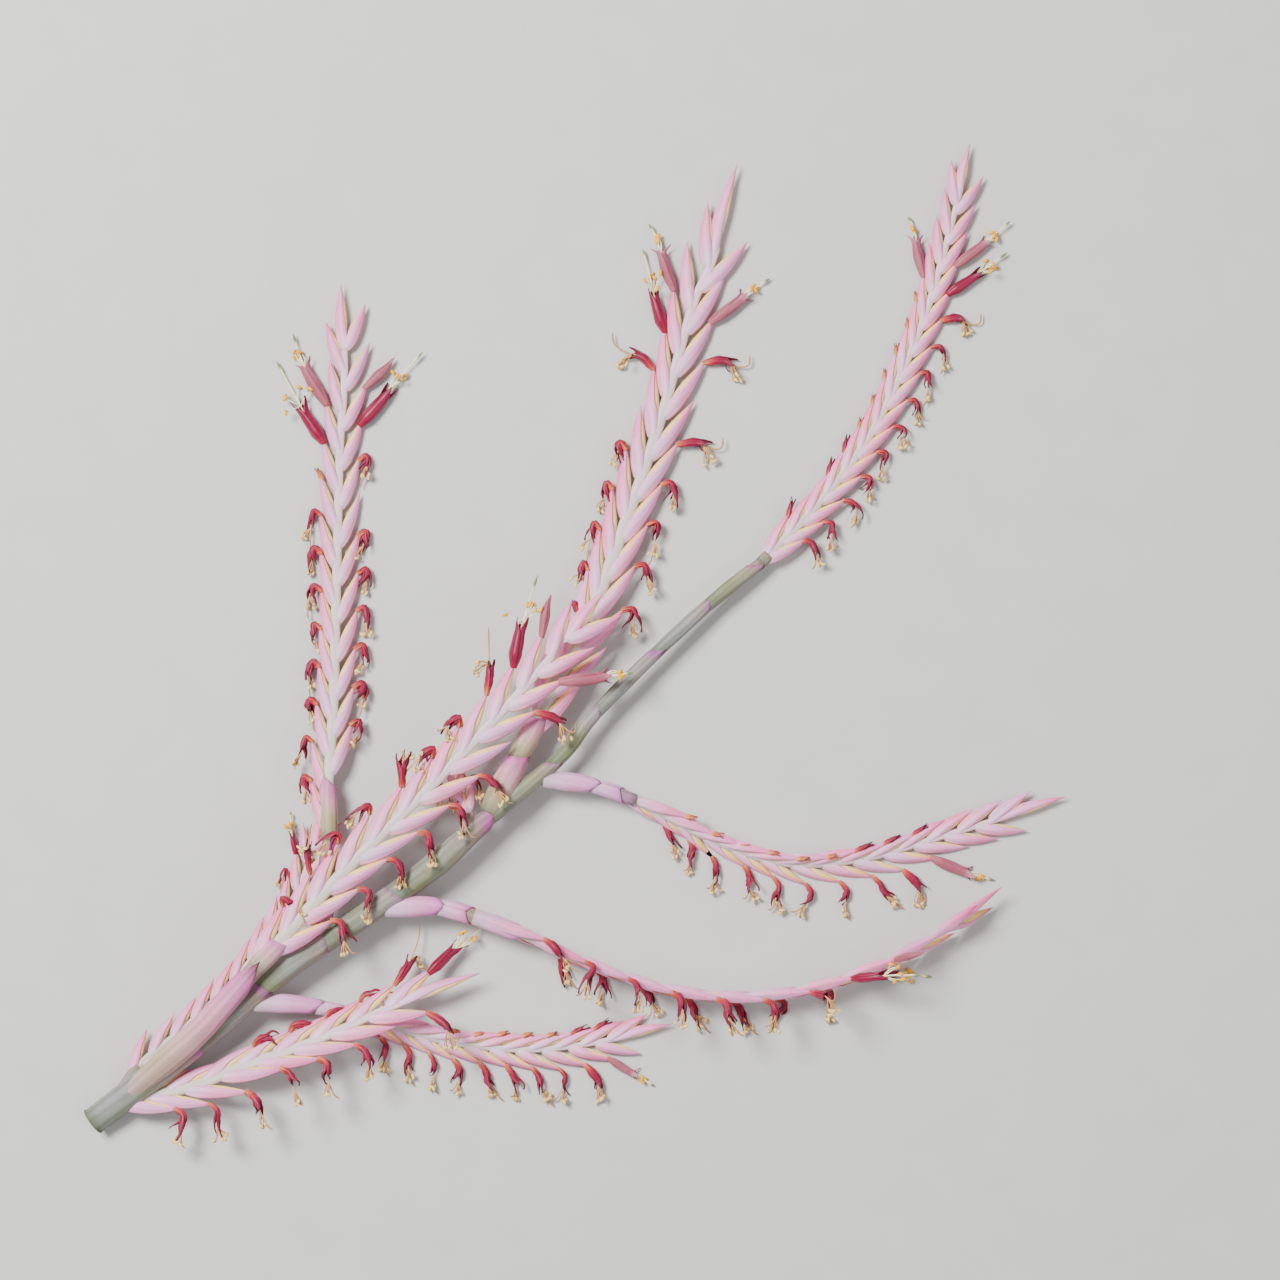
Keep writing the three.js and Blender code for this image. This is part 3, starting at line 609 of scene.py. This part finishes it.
# %% [markdown]
# A bract is a folded boat: a sharp keel on the outside, two flanks that bulge and close again over the calyx,
# and a long point. It is built as rows of points from foot to tip. Each row is a slim oval whose ends stay
# apart where the calyx shows. A second, smaller copy inside gives the thickness, and strips close the edges.

# %% Bracts
BRACT_ROWS = 17
BRACT_COLUMNS = 15
BRACT_SKIN = 0.35
# Depth and width of the fold and the bow of its middle line, as shares of the bract's own measures
FOLD_DEPTH, FOLD_WIDTH, BOW = 0.9, 0.95, 0.022
# How far the fold stands open, for a closed bract and for one with a flower, and its twist in degrees
GAPE_CLOSED, GAPE_FLOWER, TWIST = 0.14, 0.28, 4


def smooth_step(low, high, values):
    """From 0 to 1, gently, as values go from low to high."""
    share = np.clip((values - low) / (high - low), 0, 1)
    return share * share * (3 - 2 * share)


def bract_profile(share, foot, full):
    """How broad a bract is along its length, as a share of its greatest: foot at its foot, 1 from full on."""
    taper = np.maximum(1 - share, 0) ** 0.95 * (0.12 + share) ** 0.55 / 0.442
    waist = foot + (1 - foot) * smooth_step(0.0, full, share)
    return taper * waist * np.sqrt(1 - (1 - np.clip(share / 0.05, 0.03, 1)) ** 2)


def centre_line(unit, share):
    """Points along the middle of a bract, which bows a little towards its keel."""
    return (unit["foot"] + np.outer(share * unit["reach"], unit["line"])
            + np.outer(BOW * unit["reach"] * np.sin(np.pi * share), unit["rise"]))


def bract_layer(unit, share, across, thinner, gape, twist):
    """One layer of a bract: rows of points round a drop-shaped fold with its point at the keel."""
    depth = FOLD_DEPTH * unit["size"]["depth"] * bract_profile(share, 0.8, 0.25)
    width = FOLD_WIDTH * unit["size"]["width"] * bract_profile(share, 0.5, 0.5)
    depth = np.maximum(depth - thinner, 0.04)[:, None]
    width = np.maximum(width - thinner, 0.04)[:, None]
    opening = smooth_step(0.3, 0.55, share) * (1 - smooth_step(0.94, 1.0, share))
    round_to = np.pi * (0.95 - gape * opening)[:, None]
    angle = across[None, :] * round_to
    bend = np.cos(angle)
    ridge = 0.1 * np.exp(-((across[None, :] / 0.12) ** 2))
    towards_keel = depth * (0.04 + 0.46 * bend + ridge)
    sideways = 0.47 * width * np.sin(angle) * (1 - 0.38 * bend)
    rise = turned(unit["rise"], unit["line"], twist)
    flank = turned(unit["flank"], unit["line"], twist)
    return (centre_line(unit, share)[:, None, :] + towards_keel[..., None] * rise
            + sideways[..., None] * flank)


def shell(pile, outer, inner, leaf, paint=0):
    """Adds a sheet with thickness: an outer and an inner layer, closed along all four edges."""
    rows, columns = outer.shape[:2]
    faces = grid_faces(rows, columns)
    size = rows * columns
    edge = np.concatenate([
        np.arange(columns - 1), np.arange(rows - 1) * columns + columns - 1,
        size - 1 - np.arange(columns - 1), (rows - 1 - np.arange(rows - 1)) * columns])
    following = np.roll(edge, -1)
    rim = np.stack([following, edge, edge + size, following + size], axis=-1)
    points = np.concatenate([outer.reshape(-1, 3), inner.reshape(-1, 3)])
    both = np.concatenate([leaf.reshape(-1, 3), leaf.reshape(-1, 3)])
    pile.add(points, np.vstack([faces, faces[:, ::-1] + size, rim]), both, paint)


def add_bract(pile, unit):
    """A bract with thin closed edges."""
    share = 1 - (1 - np.linspace(0, 1, BRACT_ROWS)) ** 1.3
    across = np.linspace(-1, 1, BRACT_COLUMNS)
    gape = GAPE_CLOSED if unit["flower"] == "c" else GAPE_FLOWER
    twist = math.radians(TWIST * chance.uniform(-1, 1))
    outer = bract_layer(unit, share, across, 0, gape, twist)
    inner = bract_layer(unit, share, across, 2 * BRACT_SKIN, gape, twist)
    shell(pile, outer, inner, leaf_map(across, share, chance.uniform()))


# %% [markdown]
# The calyx is the pale yellow sleeve that shows as a strip along the open edge of each bract. It is a slim
# spindle that lies inside the fold and stands a little proud of the groove.

# %% Calyx
def add_calyx(pile, unit):
    """A spindle in the groove of a bract."""
    share = np.linspace(0.28, 0.965, 12)
    turn = np.linspace(0, 2 * np.pi, 11)[:-1]
    bell = np.sqrt(np.sin(np.pi * np.linspace(0.02, 0.98, 12)))
    depth = unit["size"]["depth"] * bract_profile(share, 0.8, 0.25)
    width = unit["size"]["width"] * bract_profile(share, 0.5, 0.5) * bell
    centre = centre_line(unit, share) - np.outer(0.22 * depth, unit["rise"])
    ring = (np.multiply.outer(0.29 * depth * bell, np.cos(turn))[..., None] * -unit["rise"]
            + np.multiply.outer(0.36 * width, np.sin(turn))[..., None] * unit["flank"])
    leaf = leaf_map(np.abs(turn / np.pi - 1), (share - share[0]) / (share[-1] - share[0]), chance.uniform())
    pile.add(centre[:, None, :] + ring, grid_faces(12, 10, closed=True), leaf)


# %% [markdown]
# Stalks are round and clasped by sheaths, each a thin leaf wrapped right round with a slanting, pointed mouth.
# The stalk is one tube. Every sheath is its own shell around it, from the mouth below to its own tip, so the
# overlaps are real steps that catch the light, and not lines painted on.

# %% Stalks and sheaths
ROUND = 20
RACHIS_THIN, RACHIS_FLAT = 0.74, 0.7


def ring_of(at, radius, angles, flat=1.0):
    """Points round an axis at given angles; flat is its thickness as a share of its width."""
    return (at["place"] + np.outer(flat * radius * np.cos(angles), at["face"])
            + np.outer(radius * np.sin(angles), at["left"]))


def add_stalk(pile, axis, radius_at, start, end, paint=0, flat=1.0):
    """A plain round stalk with closed ends."""
    rows = max(4, int((end - start) / 2.5))
    angles = np.linspace(0, 2 * np.pi, ROUND + 1)[:-1]
    reach = np.linspace(start, end, rows)
    first, last = axis["at"](start), axis["at"](end)
    rings = [ring_of(first, 0.02, angles), ring_of(first, 0.94 * radius_at(start), angles, flat)]
    rings += [ring_of(axis["at"](distance), radius_at(distance), angles, flat) for distance in reach]
    rings += [ring_of(last, 0.94 * radius_at(end), angles, flat), ring_of(last, 0.02, angles)]
    share = np.concatenate([[0, 0], np.linspace(0, 1, rows), [1, 1]])
    leaf = leaf_map(np.abs(angles / np.pi - 1), share, chance.uniform())
    pile.add(np.array(rings), grid_faces(rows + 4, ROUND, closed=True), leaf, paint)


def add_sheath(pile, axis, radius_at, base, tip, swell, turn, slant=6.0, paint=0):
    """A sheath from its base to a slanting mouth with a point on one side."""
    rows = max(9, int((tip - base) / 2.2))
    across = np.linspace(-1, 1, 23)
    angles = math.radians(turn) + across * np.pi * 1.04
    run = tip - base
    mouth = tip - min(0.4 * run, slant) * np.abs(across) ** 0.8
    share = np.linspace(0, 1, rows) ** 0.8
    layers = []
    for inward in (0.0, 0.3):
        grid = np.zeros((rows, len(across), 3))
        for column, (angle, edge) in enumerate(zip(angles, mouth)):
            overlap = 0.1 * across[column]
            for row, part in enumerate(share):
                distance = base + (edge - base) * part
                proud = 0.12 + swell * np.interp((distance - base) / run, [0, 0.4, 1], [0.1, 1, 0.3])
                radius = radius_at(distance) + proud + overlap - inward * min(proud, 1.0)
                grid[row, column] = ring_of(axis["at"](distance), radius, np.array([angle]))[0]
        layers.append(grid)
    shell(pile, layers[0], layers[1], leaf_map(across, share, chance.uniform()), paint)


# %% [markdown]
# The main stem is thick and pale green at its cut end and slims towards the top. The cut itself is a clean
# slice with a darker rind and a paler core, made as a few flat rings that sink a little in the middle.

# %% Main stem
def stem_radius(distance):
    """The stem's radius at a distance along it."""
    return blend(STEM["radius"], distance / stem_axis["length"]) - 0.15


stem_pile = Pile()
add_stalk(stem_pile, stem_axis, stem_radius, 0.0, stem_axis["length"])
make_piece(stem_pile, "stem_core", [STALK], ["main_stem"])
sheath_pile = Pile()
below = 0.0
for mouth_tip, swell, turn, slant in STEM["mouths"]:
    add_sheath(sheath_pile, stem_axis, stem_radius, max(below - 4, 0.3), mouth_tip, swell, turn, slant)
    below = mouth_tip
make_piece(sheath_pile, "stem_sheaths", [STEM_SHEATH], ["main_stem"])

CUT_RINGS = [(1.0, 0.25), (0.97, -0.1), (0.9, -0.12), (0.84, 0.16), (0.5, 0.2), (0.05, 0.05), (0.05, 1.2)]
cut = stem_axis["at"](0)
cut_angles = np.linspace(0, 2 * np.pi, ROUND + 1)[:-1]
cut_rings = np.array([
    ring_of({**cut, "place": cut["place"] + cut["along"] * inward}, share * 1.08 * STEM["radius"][0], cut_angles)
    for share, inward in CUT_RINGS])
cut_pile = Pile()
cut_pile.add(cut_rings, grid_faces(len(CUT_RINGS), ROUND, closed=True),
             leaf_map(np.zeros(ROUND), np.linspace(0, 1, len(CUT_RINGS)), 0.5))
make_piece(cut_pile, "cut_end", [CUT_END], ["main_stem"])
print("stem sheaths:", len(STEM["mouths"]))

# %% [markdown]
# Now the spikes. Each gets its stalk with sheaths, its rachis, and its bracts with their calyx strips. The
# flowers come after, because they grow out of the mouths of the bracts made here.

# %% Spikes
for letter, measures in SPIKES.items():
    axis, node = AXES[letter], "spike_" + letter

    def stalk_radius(distance, measures=measures, axis=axis):
        return blend(measures["radius"], distance / axis["length"]) - 0.1

    def rachis_radius(distance, radius=stalk_radius):
        return RACHIS_THIN * radius(distance)

    stalk_pile = Pile()
    lowest_bract = max(measures["tips"][0] - 0.75 * measures["bract"][0], 2.0)
    add_stalk(stalk_pile, axis, stalk_radius, 0.0, lowest_bract)
    add_stalk(stalk_pile, axis, rachis_radius, lowest_bract - 1, axis["length"] - 1.2 * measures["bract"][0], 2,
              RACHIS_FLAT)
    below = 0.0
    for mouth_tip, swell, turn, *slant in measures["mouths"]:
        add_sheath(stalk_pile, axis, stalk_radius, max(below - 3, 0.3), mouth_tip, swell, turn, *slant or [7.0],
                   paint=1)
        below = mouth_tip
    clasp = PINK_SHEATH if letter in "ghi" else SHEATH
    make_piece(stalk_pile, "stalk_" + letter, [STALK, clasp, RACHIS], [node])
    bract_pile, calyx_pile = Pile(), Pile()
    for unit in UNITS[letter]:
        add_bract(bract_pile, unit)
        add_calyx(calyx_pile, unit)
    make_piece(bract_pile, "bracts_" + letter, [BRACT], [node])
    make_piece(calyx_pile, "calyx_" + letter, [CALYX], [node])
print("spikes clothed:", ", ".join(SPIKES))

# %% [markdown]
# A flower follows a path, so it needs frames along it too. Here they are carried from point to point without
# any twist of their own. Petals, filaments and anthers are all strips or tubes swept along such paths.

# %% Paths for flowers
def path_frames(points, first_normal, steps):
    """Evenly spaced places along a smooth path, each with a direction and two normals."""
    dense = smooth_points(points, 24)
    reach = np.concatenate([[0], np.cumsum(np.linalg.norm(np.diff(dense, axis=0), axis=1))])
    at = np.linspace(0, reach[-1], steps)
    places = np.stack([np.interp(at, reach, dense[:, k]) for k in range(3)], axis=-1)
    ways = np.gradient(places, axis=0)
    ways /= np.linalg.norm(ways, axis=1)[:, None]
    normals, normal = [], np.array(first_normal, float)
    for way in ways:
        normal = unit_of(normal - way * np.dot(normal, way))
        normals.append(normal)
    normals = np.array(normals)
    return places, ways, normals, np.cross(ways, normals)


def add_tube(pile, points, radii, sides, steps, paint=0):
    """A thin tube along a path, with radii read evenly along it."""
    helper = np.array([0.31, 0.52, 0.79])
    places, ways, one, other = path_frames(points, helper, steps)
    angles = np.linspace(0, 2 * np.pi, sides + 1)[:-1]
    radius = np.interp(np.linspace(0, 1, steps), np.linspace(0, 1, len(radii)), radii)
    ring = (np.multiply.outer(radius, np.cos(angles))[..., None] * one[:, None, :]
            + np.multiply.outer(radius, np.sin(angles))[..., None] * other[:, None, :])
    leaf = leaf_map(np.abs(angles / np.pi - 1), np.linspace(0, 1, steps), chance.uniform())
    pile.add(places[:, None, :] + ring, grid_faces(steps, sides, closed=True), leaf, paint)


# A petal: its columns, half its turn round the tube in degrees, its thickness, and the lap of one edge
PETAL_COLUMNS, PETAL_TURN, PETAL_SKIN, PETAL_LAP = 9, 84, 0.16, 0.13
# The share of that turn that is lost where the petals part
PETAL_NARROWS = 0.62


def add_petals(pile, points, normal, radii, split, flare, steps=14, count=3, wrinkle=0.0, loose=0.0, paint=0):
    """Petals wrapped into a tube that part after split, a share of the path, and spread by flare."""
    places, ways, one, other = path_frames(points, normal, steps)
    share = np.linspace(0, 1, steps)
    radius = np.interp(share, np.linspace(0, 1, len(radii)), radii)
    apart = smooth_step(split, 1.0, share)
    across = np.linspace(-1, 1, PETAL_COLUMNS)
    for petal in range(count):
        own = chance.uniform()
        spread = math.radians(PETAL_TURN) * (1 - PETAL_NARROWS * apart ** 1.3)
        spread = spread * np.sqrt(np.clip(1.01 - share ** 5, 0.01, 1))
        middle = 2 * np.pi * petal / count + 0.5
        angle = middle + across[None, :] * spread[:, None] + 0.9 * loose * (own - 0.5) * apart[:, None]
        crumple = wrinkle * np.sin(8 * across[None, :] * (1 + own) + 11 * share[:, None] + 20 * own)
        distance = radius[:, None] * (1 + crumple) + PETAL_LAP * across[None, :]
        push = math.cos(middle) * one + math.sin(middle) * other
        away = (flare * (0.6 + 0.8 * own) * apart ** 1.6)[:, None] * push
        away = away + np.outer(apart ** 1.3, chance.normal(0, loose, 3))
        layers = []
        for inward in (0.0, PETAL_SKIN):
            ring = ((distance - inward) * np.cos(angle))[..., None] * one[:, None, :]
            ring = ring + ((distance - inward) * np.sin(angle))[..., None] * other[:, None, :]
            layers.append((places + away)[:, None, :] + ring)
        shell(pile, layers[0], layers[1], leaf_map(across, share, own), paint)


print("flower helpers ready")

# %% [markdown]
# An anther is a little bean on the end of its filament. A tuft is five or six filaments with their anthers,
# spread at random about one direction. The longer style is a thread of its own. Dry tufts sag and tangle.

# %% Stamens
# Threads: the radius at their foot, and the least height of their points above the table
THREAD, THREAD_HEIGHT = 0.24, 0.5


def add_anther(pile, place, way, length, thick, paint):
    """A small bean along a direction."""
    ends = [place - way * 0.5 * length, place, place + way * 0.5 * length]
    add_tube(pile, ends, [0.02, thick, 0.9 * thick, thick, 0.02], 6, 6, paint)


def add_tuft(pile, start, way, length, spread, sag, anther, filaments=6):
    """Filaments from one place with anthers at their ends."""
    for _ in range(filaments):
        lean = chance.normal(0, spread, 3)
        heading = unit_of(way + lean)
        reach = length * chance.uniform(0.8, 1.15)
        middle = start + heading * 0.5 * reach + chance.normal(0, 0.06 * reach, 3) + HANG * sag * 0.2
        end = start + heading * reach + HANG * sag
        points = [start, middle, end]
        for point in points:
            point[2] = max(point[2], THREAD_HEIGHT)
        add_tube(pile, points, [THREAD, 0.2, 0.18], 5, 8, 0)
        add_anther(pile, end, unit_of(chance.normal(0, 0.5, 3) + way * 0.8), anther[0], anther[1], 1)


def add_style(pile, points, tip_radius):
    """A style: a longer thread that thickens to its stigma."""
    held = [np.array([*point[:2], max(point[2], THREAD_HEIGHT)]) for point in points]
    add_tube(pile, held, [THREAD] * 6 + [0.26, tip_radius, 0.05], 6, 20, 0)


print("stamen helpers ready")

# %% [markdown]
# Spent flowers bend over the tip of their bract and hang towards the ground the plant grew over: out of the
# mouth, over the bend, and down. On the upper side of a sloping spike there is a bract in the way, so there they
# lie along it, and some stand up or drop outside it. Petals stick together at first, then part into two or three
# ragged tongues, and a tangle of dry stamens hangs below.

# %% Spent flowers
# How far upward a keel faces on the upper side of a sloping spike: from here, and up to here for a mixed stand
SLOPING, STEEP = 0.3, 0.6
# A spent flower starts this far inside its bract
INSIDE = 2.2
# A dried flower, before its own size: from the tip to its bend, and from there to its middle and its end
BEND_AT, DRY_MIDDLE, DRY_END = 2.0, 3.6, 6.4
# A faded flower: from the tip to its middle and to its mouth
FADED_MIDDLE, FADED_MOUTH = 4.5, 8.6
# Anthers of dried and faded flowers, as length and radius, and the radius of the shrunken stigma
DRY_ANTHER, FADED_ANTHER, DRY_STIGMA = (2.0, 0.52), (2.1, 0.54), 0.28
# How far a red and a shrivelled stub reach past the tip
STUB_REACH = {"r": 3.8, "s": 1.6}


def point_from(start, *moves):
    """A point reached by steps along directions, kept above the table."""
    point = np.array(start, float)
    for direction, distance in moves:
        point = point + direction * distance
    point[2] = max(point[2], LOWEST_FLOWER)
    return point


def exit_of(unit):
    """The way a flower leaves its bract."""
    return unit_of(0.7 * unit["keel"] + 0.6 * unit["along"] + 0.35 * HANG)


def dried_flower(petals, stamens, unit):
    """A bent, hanging flower with dry stamens."""
    way, big = exit_of(unit), unit["size"]["spent"]
    drift, drop = 0.8 * sway(unit["count"], 1), 1 + 0.15 * sway(unit["count"], 2)
    above = max(0.0, -float(np.dot(unit["keel"], HANG)))
    hang = turned(HANG, UP, math.radians(chance.normal(0, 14)))
    fall = unit_of(hang * (1 - 0.6 * above) + 1.3 * above * unit["along"])
    mood = sway(unit["count"], 5)
    if SLOPING < above < STEEP and mood > 0.3:
        fall = unit_of(unit["keel"] + 1.2 * HANG)
    elif SLOPING < above < STEEP and mood < -0.4:
        fall = unit_of(unit["along"] + 0.3 * unit["keel"])
    bend = point_from(unit["tip"], (way, (BEND_AT - 0.8 * above) * big), (UP, 2.4 * above), (HANG, 0.3))
    drop *= 1 + 0.4 * above
    low = point_from(bend, (fall, DRY_MIDDLE * drop * big), (way, 0.6 * (1 - above)), (unit["along"], drift))
    end = point_from(bend, (fall, DRY_END * drop * big), (HANG, above), (unit["along"], -0.4 * drift))
    start = point_from(unit["tip"], (unit["along"], -INSIDE))
    count = 2 + int(chance.uniform() < 0.6)
    thick = chance.uniform(0.85, 1.2) * big
    add_petals(petals, [start, bend, low, end], unit["keel"],
               [0.7 * thick, 0.85 * thick, 1.0 * thick, 1.15 * thick, 0.8 * thick, 0.5 * thick],
               0.4, 0.9 * big, 18, count, 0.32, 1.1 * big)
    below = fall + 1.2 * above * HANG + 0.35 * chance.normal(0, 1, 3) * np.array([1, 1, 0.4])
    add_tuft(stamens, low + fall * 1.2, unit_of(below), 3.4 * big, 0.3, 1.0, DRY_ANTHER, 5)
    side = unit["along"] * (1 if chance.uniform() < 0.5 else -1)
    curl = [low, low + fall * 3.0 * big + side * 0.6, low + fall * 5.6 * big + side * 1.6,
            low + fall * 6.4 * big + side * 3.0]
    add_style(stamens, curl, DRY_STIGMA)


def wilting_flower(petals, stamens, unit):
    """A faded flower that still stands out, with its stamens hanging from the mouth."""
    way, big = exit_of(unit), unit["size"]["spent"]
    if -float(np.dot(unit["keel"], HANG)) > SLOPING:
        way = unit_of(0.4 * unit["keel"] + 0.92 * unit["along"])
    start = point_from(unit["tip"], (unit["along"], -INSIDE))
    out = point_from(unit["tip"], (way, FADED_MIDDLE * big), (unit["along"], 1))
    mouth = point_from(unit["tip"], (way, FADED_MOUTH * big), (unit["along"], 1))
    add_petals(petals, [start, out, mouth], unit["keel"], [0.6, 1.1, 1.35, 1.1, 0.8], 0.6, 0.9 * big,
               16, 3, 0.16, 0.5)
    add_tuft(stamens, out + (mouth - out) * 0.7, unit_of(way + HANG), 4.6 * big, 0.3, 1.6, FADED_ANTHER, 6)
    curl = [out, mouth + way * 2.0, mouth + way * 5 - HANG * 1.5, mouth + way * 5.5 - HANG * 5]
    add_style(stamens, curl, DRY_STIGMA)


def stub_flower(petals, stamens, unit):
    """What is left in the mouth of a bract: a shrivelled or a red stub."""
    reach = STUB_REACH[unit["flower"]]
    start = point_from(unit["tip"], (unit["along"], -2.6))
    end = point_from(unit["tip"], (unit["along"], reach), (unit["keel"], 0.3 * reach))
    paint = 0 if unit["flower"] == "r" else 1
    add_petals(petals, [start, (start + end) / 2, end], unit["keel"], [0.6, 0.8, 0.6, 0.3], 0.5, 0.4,
               10, 3, 0.2, 0.2, paint)


SPENT = {"d": dried_flower, "w": wilting_flower, "s": stub_flower, "r": stub_flower}
hanging = 0
for letter, units in UNITS.items():
    petals, stamens = Pile(), Pile()
    for unit in units:
        if unit["flower"] in SPENT:
            SPENT[unit["flower"]](petals, stamens, unit)
            hanging += 1
    if petals.count:
        make_piece(petals, "spent_petals_" + letter, [PETAL_DRY, STUB], ["spike_" + letter])
    if stamens.count:
        make_piece(stamens, "spent_stamens_" + letter, [FILAMENT_DRY, ANTHER_DRY], ["spike_" + letter])
print(hanging, "spent flowers and stubs")

# %% [markdown]
# Standing flowers are rolled tubes of three petals. The open ones are crimson and parted deeper, with stamens
# that fan out and a style that reaches far past them. Fresh ones are mauve, and the youngest are still closed.

# %% Standing flowers
# From the tip of the bract back to a flower's seat, and back to where its tube starts to lean out
SEAT_BACK, LEAN_BACK = 3.2, 1.3
# Before its own size: lengths, radii from seat to mouth, reach of the style, spread and reach of the stamens
BUD_LENGTH, FLOWER_LENGTH = 11, 13.2
BUD_RADII = (0.7, 1.2, 1.5, 0.9, 0.15)
OPEN_RADII, FRESH_RADII = (0.9, 1.9, 1.8, 1.5, 1.2), (0.9, 1.7, 1.8, 1.6, 1.5)
OPEN_STYLE, FRESH_STYLE = 12.5, 8.5
OPEN_STAMENS, FRESH_STAMENS = (0.42, 6.4), (0.13, 5.2)
# Length and radius of an anther, and the radius of the stigma
FRESH_ANTHER, STIGMA = (2.4, 0.56), 0.55


def standing_flower(petals, stamens, unit):
    """An open, fresh or budding flower from the mouth of its bract."""
    big = unit["size"]["standing"]
    bud = unit["flower"] == "b"
    seat = point_from(unit["tip"], (unit["along"], -SEAT_BACK))
    length = (BUD_LENGTH if bud else FLOWER_LENGTH) * big
    lean = 0.13 * (1 - abs(float(unit["keel"][2])))
    way = unit_of(unit["along"] + unit["keel"] * lean + HANG * 0.15)
    mouth = point_from(unit["tip"], (unit["along"], -LEAN_BACK), (way, length), (unit["keel"], big))
    middle = point_from(unit["tip"], (unit["along"], -LEAN_BACK), (way, 0.6 * length),
                        (unit["keel"], 1.1 * big))
    if bud:
        add_petals(petals, [seat, middle, mouth], unit["keel"], [big * r for r in BUD_RADII],
                   0.95, 0.0, 18, 3, 0.03)
        return
    wide_open = unit["flower"] == "o"
    radii = OPEN_RADII if wide_open else FRESH_RADII
    add_petals(petals, [seat, middle, mouth], unit["keel"], [big * r for r in radii],
               0.62 if wide_open else 0.84, 0.8 * big if wide_open else 1.5 * big, 20, 3, 0.05, 0.3)
    spread, stand_out = OPEN_STAMENS if wide_open else FRESH_STAMENS
    add_tuft(stamens, middle + (mouth - middle) * 0.6, way, stand_out * big, spread, 0.2, FRESH_ANTHER, 6)
    aside = chance.normal(0, 1.1, 3) * np.array([1, 1, 0.4])
    past = (OPEN_STYLE if wide_open else FRESH_STYLE) * big
    style = [middle, mouth, mouth + way * 0.5 * past + 0.3 * aside, mouth + way * past + aside]
    add_style(stamens, style, STIGMA)


standing = 0
for letter, units in UNITS.items():
    for place, unit in enumerate([unit for unit in units if unit["flower"] in "ofb"]):
        petals, stamens = Pile(), Pile()
        standing_flower(petals, stamens, unit)
        name = f"{letter}{place + 1}"
        paint = PETAL_OPEN if unit["flower"] == "o" else PETAL_YOUNG
        make_piece(petals, "petals_" + name, [paint], ["bloom_" + name])
        if stamens.count:
            make_piece(stamens, "stamens_" + name, [FILAMENT, ANTHER], ["bloom_" + name])
        standing += 1
print(standing, "standing flowers")

# %% [markdown]
# The table is a plain pale sheet with a little tooth, large enough to fill the view from any side.

# %% Table
table_mesh = bpy.data.meshes.new("table_top")
HALF = 12.0
table_mesh.from_pydata([(-HALF, -HALF, 0), (HALF, -HALF, 0), (HALF, HALF, 0), (-HALF, HALF, 0)], [],
                       [(0, 1, 2, 3)])
table_top = bpy.data.objects.new("table_top", table_mesh)
bpy.context.scene.collection.objects.link(table_top)
table_paint = bpy.data.materials.new("table_paint")
table_paint.use_nodes = True
table_tree = table_paint.node_tree
table_shader = table_tree.nodes["Principled BSDF"]
table_place = add_node(table_tree, "ShaderNodeTexCoord")
table_noise = add_node(table_tree, "ShaderNodeTexNoise", values=[("Scale", 60.0), ("Detail", 4.0)],
                       links=[("Vector", table_place.outputs["Object"])])
table_colour = mixed(table_tree, table_noise.outputs["Fac"], screen_colour(192, 191, 188),
                     screen_colour(199, 198, 195))
table_tree.links.new(table_colour, table_shader.inputs["Base Color"])
table_shader.inputs["Roughness"].default_value = 0.8
table_mesh.materials.append(table_paint)
print("table ready")

# %% [markdown]
# The photograph looks straight at the flat spread of the stalk, so the camera hangs above it and looks down.
# A long lens keeps the spikes from leaning away. Its height is worked out from how wide the picture is in
# millimetres. One broad soft lamp stands above and to the left, a weaker one fills from the right.

# %% Camera and light
PICTURE_WIDTH = 409.6
LENS, SENSOR = 150.0, 36.0
FOCUS_HEIGHT = 5.0
PICTURE_CENTRE = (19.2, -1.3)
camera_data = bpy.data.cameras.new("camera")
camera_data.lens, camera_data.sensor_width = LENS, SENSOR
camera = bpy.data.objects.new("camera", camera_data)
bpy.context.scene.collection.objects.link(camera)
camera_height = FOCUS_HEIGHT + PICTURE_WIDTH / SENSOR * LENS
camera.location = Vector((PICTURE_CENTRE[0] - MIDDLE[0], PICTURE_CENTRE[1] - MIDDLE[1], camera_height)) * MM
camera.rotation_euler = (0, 0, 0)
camera_data.clip_start, camera_data.clip_end = 0.05, 20
bpy.context.scene.camera = camera


def add_lamp(name, place, size, watts):
    """A square lamp that points at the middle of the stalk."""
    data = bpy.data.lights.new(name, "AREA")
    data.shape, data.size, data.energy = "SQUARE", size, watts
    lamp = bpy.data.objects.new(name, data)
    bpy.context.scene.collection.objects.link(lamp)
    lamp.location = place
    lamp.rotation_euler = (-Vector(place)).to_track_quat("-Z", "Y").to_euler()


add_lamp("broad_lamp", (-0.7, 0.5, 1.3), 0.5, 52)
add_lamp("fill_lamp", (0.9, -0.4, 1.1), 0.9, 5)
world = bpy.data.worlds.new("room")
bpy.context.scene.world = world
world.use_nodes = True
world.node_tree.nodes["Background"].inputs["Color"].default_value = (0.95, 0.97, 1.0, 1.0)
world.node_tree.nodes["Background"].inputs["Strength"].default_value = 0.5
print("camera at", round(camera_height), "mm")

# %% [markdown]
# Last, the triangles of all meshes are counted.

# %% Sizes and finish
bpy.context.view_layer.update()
triangles = sum(len(face.vertices) - 2 for piece in bpy.data.objects if piece.type == "MESH"
                for face in piece.data.polygons)
print(triangles, "triangles in all, solids and table with them")
